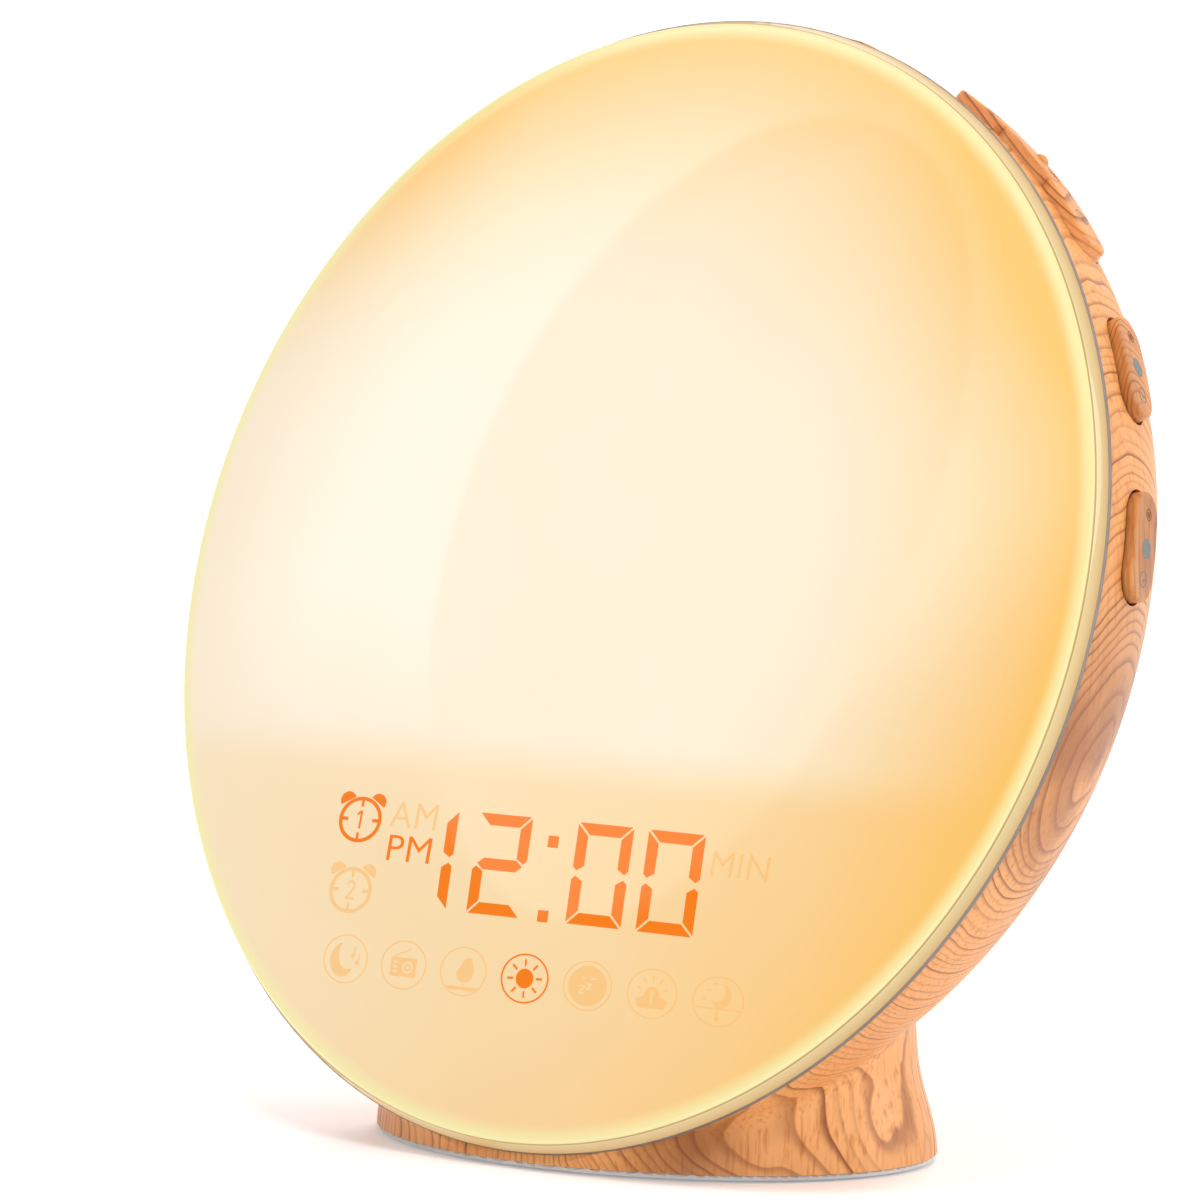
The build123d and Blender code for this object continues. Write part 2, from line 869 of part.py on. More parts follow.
def main_board():
    high = main_board_low + main_board_height
    half = main_board_width / 2
    board = block((-half, half), (main_board_low, high), (main_board_back, main_board_front))
    for place in main_board_corners():
        board -= place * disc(board_screw_radius + screw_hole_play, main_board_back, main_board_front)
    return board


def on_main_board(x, y, height):
    return block(x, y, (main_board_front, main_board_front + height))


def main_board_chips():
    """Controller, amplifier, clock crystal, inductor and the plug-in sockets."""
    return [
        on_main_board((4, 14), (38, 48), 1.6),
        on_main_board((18, 23), (44, 48), 1.5),
        on_main_board((17, 19), (36, 42), 2.0),
        on_main_board((22, 28), (34, 40), 3.2),
        on_main_board((2, 14), (24, 29), 4.0),
        on_main_board((lead_column - 3, lead_column + 3), (main_board_low + 1, main_board_low + 6), 4.5),
    ]


def coin_cell_holder():
    floor = main_board_front + cell_floor
    high = floor + cell_thickness + 0.6
    cup = disc(cell_radius + 1.5, main_board_front, high) - disc(cell_radius + 0.1, floor, high)
    return Pos(*cell_place) * (cup - block((0, 20), (-3, 3), (floor, high)))


def coin_cell():
    low = main_board_front + cell_floor
    case = disc(cell_radius, low, low + cell_thickness - 0.5)
    return Pos(*cell_place) * (case + disc(cell_radius - 1.2, low, low + cell_thickness))


def along_path(points, bend, column, section):
    """Cable with a constant section along rounded corners in the plane x = column."""
    path = Plane.YZ * FilletPolyline(*points, radius=bend)
    start = Plane(origin=path @ 0, x_dir=(1, 0, 0), z_dir=path % 0)
    return Pos(column, 0, 0) * sweep(start * section, path=path)


def display_ribbon():
    """Flat cable from the display board's socket round the reflector to the main board."""
    top = display_back - board_thickness - 2
    start = display_top - 6.5
    behind = shelf_back - 4.5
    end = main_board_low + 8.5
    points = [(start, top), (start, behind), (end, behind), (end, main_board_front + 4)]
    return along_path(points, ribbon_bend, ribbon_column, Rectangle(ribbon_width, ribbon_thickness))


def speaker_lead():
    """Twin lead from the main board's socket down to the back of the speaker's basket."""
    level = basket_back + lead_drop
    end = speaker_centre + speaker_width / 2 - 8
    points = [(main_board_low + 1, level), (end, level), (end, basket_back)]
    return along_path(points, lead_drop - 0.5, lead_column, Circle(lead_radius))


def speaker_basket():
    """Oval basket on a flange with two ears."""
    flange = racetrack(speaker_length, speaker_width)
    ears = [Pos(side * ear_reach, 0) * Circle(ear_radius) for side in (-1, 1)]
    body = Pos(0, 0, flange_back) * extrude(flange + ears, flange_thickness)
    body += tapered((6, 4), flange_front, (26, 7), basket_back)
    body -= tapered((9, 6.5), flange_back, (29, 9.5), basket_back - 1.2)
    body = Pos(0, speaker_centre) * body
    for place in speaker_posts():
        body -= place * disc(board_screw_radius + screw_hole_play, flange_back, flange_front)
    return body


def tapered(low_inset, low, high_inset, high):
    """Loft between two racetracks, each smaller than the speaker by its inset."""
    sections = []
    for (length, width), z in ((low_inset, low), (high_inset, high)):
        sections.append(Pos(0, 0, z) * racetrack(speaker_length - length, speaker_width - width).face())
    return loft(sections)


def speaker_gasket():
    length = speaker_length - 3
    ring = racetrack(length, speaker_width) - racetrack(length - 6, speaker_width - 6)
    return Pos(0, speaker_centre, flange_back - gasket_thickness) * extrude(ring, gasket_thickness)


def speaker_cone():
    """Oval cone and its surround, set in the mouth of the basket."""
    mouth = racetrack(speaker_length - 11.5, speaker_width - 7.5)
    surround = extrude(mouth - racetrack(speaker_length - 17, speaker_width - 14), 0.8)
    cone = tapered((15, 12), 0, (56, 24), 6.0) - Pos(0, 0, -0.8) * tapered((15.2, 12.2), 0, (56.2, 24.2), 6.0)
    return Pos(0, speaker_centre, flange_back) * (surround + cone)


def speaker_magnet():
    return Pos(0, speaker_centre) * disc(magnet_radius, basket_back, basket_back + magnet_thickness)


# --------------------------------------------------------------------- input board


def io_board():
    level = (io_board_under, io_board_top)
    board = block((-io_board_half_width, io_board_half_width), (io_board_front, io_board_back), level)
    board += block((-io_tongue_half_width, io_tongue_half_width), (io_board_front, io_tongue_back), level)
    for place in io_post_places():
        board -= place * disc(board_screw_radius + screw_hole_play, *level)
    return board


def socket_box(x, width, height, face, length, wall):
    """Metal socket on the input board, open to the back."""
    outer = block((x - width / 2, x + width / 2), (face - length, face), (io_board_top, io_board_top + height))
    room = block(
        (x - width / 2 + wall, x + width / 2 - wall),
        (face - length + 1, face),
        (io_board_top + wall, io_board_top + height - wall),
    )
    return outer - room


def usb_a_socket():
    shell = socket_box(usb_place, usb_width, usb_height, usb_face, usb_length, usb_shell)
    middle = io_board_top + usb_height / 2
    tongue = block(
        (usb_place - 5.6, usb_place + 5.6),
        (usb_face - usb_length + 0.5, usb_face - 3.0),
        (middle - 0.2, middle + 1.7),
    )
    return shell + tongue


def micro_usb_socket():
    shell = socket_box(micro_place, micro_width, micro_height, micro_face, micro_length, usb_shell)
    middle = io_board_top + micro_height / 2
    tongue = block(
        (micro_place - 1.9, micro_place + 1.9),
        (micro_face - micro_length + 0.5, micro_face - 1.2),
        (middle - 0.2, middle + 0.4),
    )
    return shell + tongue


def reset_bore(radius, near, far):
    """Cylinder on the axis of the reset button, from near to far."""
    return Pos(0, 0, io_board_top + reset_axis) * Rot(-90, 0, 0) * disc(radius, near, far)


def reset_switch():
    face = io_tongue_back - 1.5
    body = block((-2.2, 2.2), (face - reset_depth, face), (io_board_top, io_board_top + 2 * reset_axis))
    return body - reset_bore(reset_radius + running_clearance, face - reset_depth / 2, face)


def reset_plunger():
    face = io_tongue_back - 1.5
    return reset_bore(reset_radius, face - reset_depth / 2 + 0.6, face + 1.3)


# --------------------------------------------------------------------- base


def base_plate():
    """White plate: a lip that shows under the foot and a spigot inside its wall."""
    lip = Ellipse(foot_half_width - base_lip_inset, foot_half_depth - base_lip_inset)
    inset = case_wall + seat_clearance
    spigot = Ellipse(foot_half_width - inset, foot_half_depth - inset)
    plate = Pos(0, 0, pad_proud) * extrude(lip, base_lip)
    plate += Pos(0, 0, base_top) * extrude(spigot, base_spigot)
    for place in base_boss_places():
        plate -= place * disc(case_screw_radius + screw_hole_play, 0, base_top + base_spigot)
        plate -= place * disc(case_screw_head + seat_clearance, 0, base_screw_seat)
    for place in pad_places():
        plate -= place * disc(pad_radius + 0.1, 0, pad_thickness)
    return plate


def pad_places():
    across = foot_half_width - 2 * pad_radius
    along = foot_half_depth - 2 * pad_radius
    return [Pos(0, 0), Pos(across, 0), Pos(-across, 0), Pos(0, along), Pos(0, -along)]


# --------------------------------------------------------------------- fasteners


def case_screws():
    """Screws through the mid frame into the casing, and through the base plate."""
    screws = []
    for angle in post_angles:
        place = Pos(*at_angle(angle, post_circle)) * Pos(0, 0, web_front)
        screws.append(head.location * place * case_screw())
    for place in base_boss_places():
        screws.append(place * Pos(0, 0, base_screw_seat) * Rot(180, 0, 0) * case_screw())
    return screws


def board_screws():
    """Small screws of the reflector, the display, the speaker and the boards."""
    screws = []
    for place in reflector_screw_places():
        seat = Pos(0, 0, shelf_front + reflector_thickness)
        screws.append(place * seat * board_screw(reflector_thickness + shelf_thickness))
    for place in display_screw_places():
        screws.append(place * Pos(0, 0, web_front + display_flange_thickness) * board_screw(screw_bite))
    for place in speaker_posts():
        screws.append(place * Pos(0, 0, flange_front) * board_screw(flange_thickness + speaker_bite))
    for place in main_board_corners():
        screws.append(place * Pos(0, 0, main_board_front) * board_screw(main_board_thickness + screw_bite))
    screws = [head.location * piece for piece in screws]
    for place in io_post_places():
        screws.append(place * Pos(0, 0, io_board_top) * board_screw(board_thickness + screw_bite))
    return screws


# --------------------------------------------------------------------- all sub-parts

add("back_shell", back_shell(), in_head=False)
add("base_plate", base_plate(), in_head=False)
add("base_pads", [place * disc(pad_radius, 0, pad_thickness) for place in pad_places()], in_head=False)
add("mid_frame", mid_frame())
add("front_lens", front_lens())
add("reflector_plate", reflector_plate())
add("light_board", light_board())
add("light_chips", light_chips())
add("display_light_box", display_light_box())
add("display_film", display_film())
add("display_board", display_board())
add("display_leds", display_leds())
add("main_board", main_board())
add("main_board_chips", main_board_chips())
add("coin_cell_holder", coin_cell_holder())
add("coin_cell", coin_cell())
add("display_ribbon", display_ribbon())
add("speaker_lead", speaker_lead())
add("speaker_basket", speaker_basket())
add("speaker_gasket", speaker_gasket())
add("speaker_cone", speaker_cone())
add("speaker_magnet", speaker_magnet())
add("io_board", io_board(), in_head=False)
add("usb_a_socket", usb_a_socket(), in_head=False)
add("micro_usb_socket", micro_usb_socket(), in_head=False)
add("reset_switch", reset_switch(), in_head=False)
add("reset_plunger", reset_plunger(), in_head=False)
add("case_screws", case_screws(), in_head=False)
add("board_screws", board_screws(), in_head=False)

key_names = {
    "top": ("alarm_1", "snooze", "alarm_2"),
    "right": ("brighter", "light", "dimmer"),
    "left": ("louder", "sound", "quieter"),
}
key_switches = []
for side, angle in strip_angles.items():
    add("key_board_" + side, key_board(angle, key_board_length))
    strip = key_strip(angle)
    for place, name in zip((-1, 0, 1), key_names[side]):
        add(name + "_key", key(angle, place, strip))
        add(name + "_plunger", plunger(angle, place))
        key_switches.append(spoke(angle) * Pos(place * key_pitch, 0, key_board_height) * push_switch(True))
add("key_switches", key_switches)

add("rocker_board", key_board(rocker_board_angle, rocker_board_length))
add("rocker_switches", rocker_switches())
add("rocker_pins", hinge_pins())
for name, angle in rocker_angles.items():
    add(name + "_rocker", rocker(angle))

os.makedirs("parts", exist_ok=True)
for name, shape in nodes.items():
    export_step(shape, f"parts/{name}.step")
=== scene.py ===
"""Looks of the sunrise alarm clock: a lit milky lens on a moulded casing with a printed wood grain."""
import json
import math

import bmesh
import bpy
from mathutils import Matrix, Vector
from mathutils.bvhtree import BVHTree

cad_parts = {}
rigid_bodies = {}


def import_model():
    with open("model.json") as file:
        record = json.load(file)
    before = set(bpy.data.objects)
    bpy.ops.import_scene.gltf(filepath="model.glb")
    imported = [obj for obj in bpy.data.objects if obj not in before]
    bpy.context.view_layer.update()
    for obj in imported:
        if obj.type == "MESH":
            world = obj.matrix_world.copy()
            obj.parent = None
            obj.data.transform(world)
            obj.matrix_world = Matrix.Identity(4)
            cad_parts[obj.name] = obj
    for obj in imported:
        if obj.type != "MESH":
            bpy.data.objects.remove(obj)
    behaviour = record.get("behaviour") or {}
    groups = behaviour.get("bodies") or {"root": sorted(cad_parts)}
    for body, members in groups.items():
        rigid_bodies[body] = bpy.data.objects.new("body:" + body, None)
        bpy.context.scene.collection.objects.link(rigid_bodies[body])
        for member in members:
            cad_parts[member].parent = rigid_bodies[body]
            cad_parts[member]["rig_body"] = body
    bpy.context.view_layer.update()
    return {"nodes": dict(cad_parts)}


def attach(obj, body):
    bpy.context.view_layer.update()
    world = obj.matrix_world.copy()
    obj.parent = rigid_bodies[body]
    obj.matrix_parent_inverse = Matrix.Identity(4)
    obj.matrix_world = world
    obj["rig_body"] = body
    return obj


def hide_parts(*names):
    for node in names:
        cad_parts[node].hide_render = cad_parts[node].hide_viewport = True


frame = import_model()
nodes = frame["nodes"]
scene = bpy.context.scene

# Places of the head, in metres: lens centre, lean and the sphere of the crowned lens
MM = 0.001
LEAN = math.radians(18.3)
HEAD_CENTRE = Vector((0, -8.2, 91.2)) * MM
HEAD = Matrix.Translation(HEAD_CENTRE) @ Matrix.Rotation(math.pi / 2 - LEAN, 4, "X")
LENS_RADIUS = 91.5
LENS_CROWN = 5.5
LENS_EDGE = 0.8
LENS_WALL = 2.0
LENS_SPHERE = (LENS_RADIUS**2 + LENS_CROWN**2) / (2 * LENS_CROWN)
SKIRT_DEPTH = 2.3
SKIRT_RADIUS = 92.4
LIP_RADIUS = 86.2
LIP_DEPTH = 5.2
# How much of the lens's colour comes from light on it, how much from the lamp behind it, and its colours
LIT_SHARE = 0.45
OWN_GLOW = 0.528
AMBER_TO_CREAM = (
    (0.10, "FEC45C"),
    (0.28, "FED391"),
    (0.45, "FEE2B4"),
    (0.62, "FFEDD0"),
    (0.80, "FEF7E8"),
)


# ------------------------------------------------------------------ colour and node helpers


def tint(code):
    """sRGB hex to the linear colour that a socket takes."""
    channels = [int(code[i : i + 2], 16) / 255 for i in (0, 2, 4)]
    linear = [c / 12.92 if c <= 0.04045 else ((c + 0.055) / 1.055) ** 2.4 for c in channels]
    return (*linear, 1.0)


def put(tree, kind, settings=None, **links):
    """Adds one node, with its settings, and with its sockets set or linked by name."""
    node = tree.nodes.new("ShaderNode" + kind)
    for name, value in (settings or {}).items():
        setattr(node, name, value)
    for name, value in links.items():
        key = int(name[1:]) if name[0] == "i" and name[1:].isdigit() else name.replace("_", " ")
        if isinstance(value, bpy.types.NodeSocket):
            tree.links.new(value, node.inputs[key])
        else:
            node.inputs[key].default_value = value
    return node


def calc(tree, operation, *values, clamp=False):
    node = put(tree, "Math", {"operation": operation, "use_clamp": clamp})
    for socket, value in zip(node.inputs, values):
        if isinstance(value, bpy.types.NodeSocket):
            tree.links.new(value, socket)
        else:
            socket.default_value = value
    return node.outputs[0]


def blend_colour(tree, amount, first, second, how="MIX"):
    node = put(tree, "Mix", {"data_type": "RGBA", "blend_type": how})
    for socket, value in ((node.inputs[0], amount), (node.inputs[6], first), (node.inputs[7], second)):
        if isinstance(value, bpy.types.NodeSocket):
            tree.links.new(value, socket)
        else:
            socket.default_value = value
    return node.outputs[2]


def band(tree, value, low, high, smooth=True):
    """0 below low, 1 above high."""
    settings = {"interpolation_type": "SMOOTHSTEP" if smooth else "LINEAR", "clamp": True}
    return put(tree, "MapRange", settings, Value=value, From_Min=low, From_Max=high).outputs[0]


def ramp(tree, value, *stops):
    node = put(tree, "ValToRGB", i0=value)
    elements = node.color_ramp.elements
    while len(elements) < len(stops):
        elements.new(0.5)
    for element, (place, colour) in zip(elements, stops):
        element.position = place
        element.color = tint(colour)
    return node.outputs[0]


def fresh(name):
    """An empty material: its tree, its Principled shader and the object coordinates in millimetres."""
    material = bpy.data.materials.new(name)
    material.use_nodes = True
    tree = material.node_tree
    shader = tree.nodes["Principled BSDF"]
    place = put(tree, "TexCoord").outputs["Object"]
    millimetres = put(tree, "VectorMath", {"operation": "SCALE"}, i0=place, Scale=1000.0).outputs[0]
    return material, tree, shader, millimetres


def join(tree, source, socket):
    tree.links.new(source, socket)


def split(tree, vector):
    node = put(tree, "SeparateXYZ", i0=vector)
    return node.outputs[0], node.outputs[1], node.outputs[2]


def in_head(tree, place):
    """Object coordinates turned into the head's: x and y across the lens, z out of it."""
    settings = {"vector_type": "TEXTURE"}
    head = put(tree, "Mapping", settings, Vector=place, Location=HEAD_CENTRE / MM)
    head.inputs["Rotation"].default_value = (math.pi / 2 - LEAN, 0, 0)
    return head.outputs[0]


def noise(tree, place, scale, detail=2.0, stretch=(1, 1, 1)):
    spread = put(tree, "Mapping", Vector=place, Scale=stretch).outputs[0]
    return put(tree, "TexNoise", Vector=spread, Scale=scale, Detail=detail).outputs[0]


# ------------------------------------------------------------------ materials


def wood_print(name, knots, spacing=2.2, shift=0.0, turn=0.0, frame_line=None):
    """Satin ABS with a printed pine grain: thin brown late-wood lines that bend round the knots."""
    material, tree, shader, place = fresh(name)
    moved = put(tree, "Mapping", Vector=place, Location=(shift, 0, 0), Rotation=(0, turn, 0)).outputs[0]
    x, y, z = split(tree, moved)
    # The sheet is wrapped round the dome, so its lines also lean with the depth of the side.
    field = calc(tree, "ADD", x, calc(tree, "MULTIPLY", y, 0.35))
    wander = noise(tree, moved, 0.018, 1.0, (1, 1, 0.45))
    field = calc(tree, "ADD", field, calc(tree, "MULTIPLY", calc(tree, "SUBTRACT", wander, 0.5), 34.0))
    ripple = noise(tree, moved, 0.07, 2.0, (1, 1, 0.35))
    field = calc(tree, "ADD", field, calc(tree, "MULTIPLY", calc(tree, "SUBTRACT", ripple, 0.5), 5.0))
    stain = None
    for kx, ky, kz, height, width, tall in knots:
        dx = calc(tree, "DIVIDE", calc(tree, "SUBTRACT", x, kx), width)
        dy = calc(tree, "DIVIDE", calc(tree, "SUBTRACT", y, ky), width * 1.6)
        dz = calc(tree, "DIVIDE", calc(tree, "SUBTRACT", z, kz), tall)
        square = calc(tree, "MULTIPLY", dx, dx)
        square = calc(tree, "MULTIPLY_ADD", dy, dy, square)
        square = calc(tree, "MULTIPLY_ADD", dz, dz, square)
        bump = calc(tree, "POWER", 2.718, calc(tree, "MULTIPLY", square, -0.5))
        field = calc(tree, "MULTIPLY_ADD", bump, height, field)
        stain = bump if stain is None else calc(tree, "MAXIMUM", stain, bump)
    # Years differ in width, so the count of rings is stretched by a slow noise along the field.
    along = put(tree, "CombineXYZ", X=calc(tree, "MULTIPLY", field, 0.06)).outputs[0]
    years = noise(tree, along, 1.0, 1.0)
    rings = calc(tree, "DIVIDE", field, spacing)
    rings = calc(tree, "ADD", rings, calc(tree, "MULTIPLY", years, 5.0))
    year = calc(tree, "FRACT", rings)
    rise = band(tree, year, 0.22, 0.92)
    drop = calc(tree, "SUBTRACT", 1.0, band(tree, year, 0.92, 1.0))
    line = calc(tree, "MULTIPLY", calc(tree, "POWER", rise, 3.2), drop)
    # Each year's line is printed stronger or fainter than its neighbour's.
    count = put(tree, "CombineXYZ", X=calc(tree, "FLOOR", rings)).outputs[0]
    strength = put(tree, "TexWhiteNoise", {"noise_dimensions": "3D"}, Vector=count).outputs[0]
    strength = calc(tree, "MULTIPLY_ADD", calc(tree, "POWER", strength, 1.6), 0.75, 0.3)
    line = calc(tree, "MULTIPLY", line, strength)
    tone = noise(tree, moved, 0.03, 3.0, (1, 1, 0.3))
    base = ramp(tree, tone, (0.3, "E19553"), (0.5, "F0A763"), (0.72, "FAB978"))
    fibre = noise(tree, moved, 1.0, 3.0, (2.2, 1.2, 0.09))
    base = blend_colour(tree, band(tree, fibre, 0.45, 0.8), base, tint("D4853F"))
    smoke = noise(tree, moved, 0.05, 3.0, (1, 1, 0.6))
    dark = calc(tree, "MULTIPLY", band(tree, stain, 0.45, 1.0), band(tree, smoke, 0.35, 0.65))
    base = blend_colour(tree, calc(tree, "MULTIPLY", dark, 0.8), base, tint("8E4F24"))
    colour = blend_colour(tree, calc(tree, "MULTIPLY", line, 0.9, clamp=True), base, tint("8C4414"))
    if frame_line:
        cx, cz, wide, tall = frame_line
        dx = calc(tree, "SUBTRACT", calc(tree, "ABSOLUTE", calc(tree, "SUBTRACT", x, cx)), wide)
        dz = calc(tree, "SUBTRACT", calc(tree, "ABSOLUTE", calc(tree, "SUBTRACT", z, cz)), tall)
        off = calc(tree, "ABSOLUTE", calc(tree, "MAXIMUM", dx, dz))
        ink = calc(tree, "SUBTRACT", 1.0, band(tree, off, 0.10, 0.16))
        ink = calc(tree, "MULTIPLY", ink, calc(tree, "MULTIPLY", band(tree, y, 0, 1), 0.7))
        colour = blend_colour(tree, ink, colour, tint("8C5A38"))
    join(tree, colour, shader.inputs["Base Color"])
    rough = noise(tree, place, 0.9, 2.0)
    join(tree, calc(tree, "MULTIPLY_ADD", rough, 0.12, 0.36), shader.inputs["Roughness"])
    relief = put(tree, "Bump", Strength=0.15, Distance=0.03 * MM, Height=fibre)
    join(tree, relief.outputs[0], shader.inputs["Normal"])
    shader.inputs["IOR"].default_value = 1.47
    return material


def lens_warmth(tree, place):
    """How white the lens glows, 0.1 (deep amber) to 0.8 (cream), and the radius and depth on it."""
    x, y, z = split(tree, in_head(tree, place))
    u = calc(tree, "DIVIDE", x, LENS_RADIUS)
    v = calc(tree, "DIVIDE", y, LENS_RADIUS)
    square = calc(tree, "MULTIPLY_ADD", v, v, calc(tree, "MULTIPLY", u, u))
    radius = calc(tree, "SQRT", square)
    # Above the display the reflector spreads white light, which turns amber towards the right rim.
    outer = calc(tree, "POWER", calc(tree, "MAXIMUM", calc(tree, "SUBTRACT", radius, 0.35), 0.0), 1.5)
    side = calc(tree, "MULTIPLY_ADD", u, 0.75, 0.48, clamp=True)
    side = calc(tree, "MAXIMUM", side, calc(tree, "MULTIPLY", band(tree, v, 0.2, 0.9), 0.8))
    amber = calc(tree, "MULTIPLY_ADD", band(tree, v, 0.2, 0.6), -0.25, -1.05)
    upper = calc(tree, "MULTIPLY_ADD", calc(tree, "MULTIPLY", outer, side), amber, 0.66)
    # Below the top of the display's box the light is warmer.
    lower = calc(tree, "MULTIPLY_ADD", calc(tree, "MULTIPLY", u, radius), -0.24, 0.45)
    lower = calc(tree, "MULTIPLY_ADD", square, -0.10, lower)
    above = band(tree, v, -0.40, -0.29)
    warmth = put(tree, "Mix", Factor=above).outputs[0]
    mixer = warmth.node
    join(tree, lower, mixer.inputs[2])
    join(tree, upper, mixer.inputs[3])
    patches = noise(tree, place, 0.035, 2.0)
    warmth = calc(tree, "ADD", warmth, calc(tree, "MULTIPLY", calc(tree, "SUBTRACT", patches, 0.5), 0.06))
    return warmth, radius, z


def milky_acrylic(name, ink=None, amount=0.0):
    """Milky acrylic lit from behind, moulded glossy: about half its colour is its own glow."""
    material, tree, shader, place = fresh(name)
    warmth, radius, depth = lens_warmth(tree, place)
    glow = ramp(tree, warmth, *AMBER_TO_CREAM)
    rim = calc(tree, "MULTIPLY", band(tree, radius, 0.962, 0.995), 0.85)
    glow = blend_colour(tree, rim, glow, tint("FCF4B4"))
    if ink:
        glow = blend_colour(tree, amount, glow, tint(ink))
    else:
        # The skirt is the lens's edge: paler, then browner towards the casing, with a line at the corner.
        skirt = calc(tree, "SUBTRACT", 1.0, band(tree, depth, -0.75, -0.55))
        down_skirt = band(tree, depth, -SKIRT_DEPTH, -0.6, False)
        edge = ramp(tree, down_skirt, (0.0, "D8B074"), (0.5, "E2C48C"), (1.0, "EACF96"))
        glow = blend_colour(tree, skirt, glow, edge)
        over = calc(tree, "SUBTRACT", 1.0, band(tree, depth, -0.3, -0.15))
        corner = calc(tree, "MULTIPLY", band(tree, depth, -0.62, -0.5), over)
        glow = blend_colour(tree, calc(tree, "MULTIPLY", corner, 0.75), glow, tint("A87838"))
    body = blend_colour(tree, 1.0, glow, (LIT_SHARE, LIT_SHARE, LIT_SHARE, 1), "MULTIPLY")
    join(tree, body, shader.inputs["Base Color"])
    join(tree, glow, shader.inputs["Emission Color"])
    shader.inputs["Emission Strength"].default_value = OWN_GLOW
    shader.inputs["Roughness"].default_value = 0.045
    shader.inputs["IOR"].default_value = 1.49
    return material


def moulded(name, code, deep, roughness, grain=0.6):
    """Moulded plastic: a fine spark-eroded grain and a slight unevenness of its colour."""
    material, tree, shader, place = fresh(name)
    cloud = noise(tree, place, 0.08, 2.0)
    colour = ramp(tree, cloud, (0.35, deep), (0.65, code))
    join(tree, colour, shader.inputs["Base Color"])
    sparks = noise(tree, place, grain, 3.0)
    join(tree, calc(tree, "MULTIPLY_ADD", sparks, 0.16, roughness - 0.08), shader.inputs["Roughness"])
    relief = put(tree, "Bump", Strength=0.3, Distance=0.03 * MM, Height=sparks)
    join(tree, relief.outputs[0], shader.inputs["Normal"])
    shader.inputs["IOR"].default_value = 1.5
    return material


def metal(name, code, deep, roughness):
    """Plated or rolled metal, with faint clouds in its shine."""
    material, tree, shader, place = fresh(name)
    clouds = noise(tree, place, 1.4, 3.0)
    join(tree, ramp(tree, clouds, (0.3, deep), (0.7, code)), shader.inputs["Base Color"])
    join(tree, calc(tree, "MULTIPLY_ADD", clouds, 0.2, roughness - 0.1), shader.inputs["Roughness"])
    shader.inputs["Metallic"].default_value = 1.0
    return material


def circuit_board(name):
    """Green solder mask on fibreglass: copper tracks under it show as paler green lines 1.2 mm apart."""
    material, tree, shader, place = fresh(name)
    tracks = put(tree, "TexBrick", {"offset": 0.5}, Vector=place, Scale=0.35, Mortar_Size=0.08)
    tracks.inputs["Color1"].default_value = tint("14623A")
    tracks.inputs["Color2"].default_value = tint("115433")
    tracks.inputs["Mortar"].default_value = tint("2B8A55")
    pads = put(tree, "TexVoronoi", Vector=place, Scale=0.28).outputs[0]
    spots = calc(tree, "SUBTRACT", 1.0, band(tree, pads, 0.10, 0.13))
    join(tree, blend_colour(tree, spots, tracks.outputs[0], tint("C8A24A")), shader.inputs["Base Color"])
    shader.inputs["Roughness"].default_value = 0.28
    return material


def emitter_chip(name):
    """LED package: white ceramic-filled resin round a yellow phosphor window, repeated about every 3 mm."""
    material, tree, shader, place = fresh(name)
    cells = put(tree, "TexVoronoi", Vector=place, Scale=0.9).outputs[0]
    join(tree, ramp(tree, cells, (0.25, "F2C94A"), (0.4, "F3F0E6")), shader.inputs["Base Color"])
    shader.inputs["Roughness"].default_value = 0.35
    return material


def speaker_paper(name):
    """Pressed grey-black paper with short fibres."""
    material, tree, shader, place = fresh(name)
    fibres = noise(tree, place, 1.6, 4.0, (1, 4, 1))
    join(tree, ramp(tree, fibres, (0.3, "1B1A19"), (0.7, "3A3734")), shader.inputs["Base Color"])
    shader.inputs["Roughness"].default_value = 0.85
    relief = put(tree, "Bump", Strength=0.5, Distance=0.06 * MM, Height=fibres)
    join(tree, relief.outputs[0], shader.inputs["Normal"])
    return material


def socket_mouth(name, face, code):
    """Bent steel shell whose contact carrier, set back from the face, is black moulded plastic."""
    material, tree, shader, place = fresh(name)
    y = split(tree, place)[1]
    inside = calc(tree, "SUBTRACT", 1.0, band(tree, y, face - 1.6, face - 0.5))
    shine = noise(tree, place, 1.8, 2.0)
    steel = ramp(tree, shine, (0.3, "A9ABAE"), (0.7, code))
    join(tree, blend_colour(tree, inside, steel, tint("111214")), shader.inputs["Base Color"])
    join(tree, calc(tree, "SUBTRACT", 1.0, inside), shader.inputs["Metallic"])
    join(tree, calc(tree, "MULTIPLY_ADD", shine, 0.2, 0.22), shader.inputs["Roughness"])
    return material


def printed_mark(name, code, deep):
    """Screen-printed ink: matt, a little thinner in places."""
    material, tree, shader, place = fresh(name)
    thin = noise(tree, place, 1.5, 3.0)
    join(tree, ramp(tree, thin, (0.35, deep), (0.65, code)), shader.inputs["Base Color"])
    shader.inputs["Roughness"].default_value = 0.6
    return material


# Knots of the print: x, y, z, how far they push the lines, and their width and height, in millimetres
CASE_KNOTS = ((86, 6, 60, 62, 25, 34), (-78, 20, 118, -26, 12, 40), (26, -30, 6, 22, 14, 9))
casing_wood = wood_print("printed_pine_on_abs", CASE_KNOTS, frame_line=(-13.0, 44.5, 6.4, 3.9))
ROCKER_KNOTS = ((90, 14, 128, 12, 9, 16), (96, 14, 98, 12, 9, 16))
KEY_KNOTS = ((58, 12, 165, 7, 9, 7), (-20, 20, 176, 7, 9, 6))
rocker_wood = wood_print("printed_pine_on_rockers", ROCKER_KNOTS, 1.3, 7.0)
key_wood = wood_print("printed_pine_on_keys", KEY_KNOTS, 1.4, 3.0, 0.9)
lens_acrylic = milky_acrylic("milky_acrylic_lit")
grey_abs = moulded("grey_abs_ring", "8D817B", "7E736E", 0.5)
white_abs = moulded("white_abs_base", "E4E6E8", "D8DADC", 0.42)
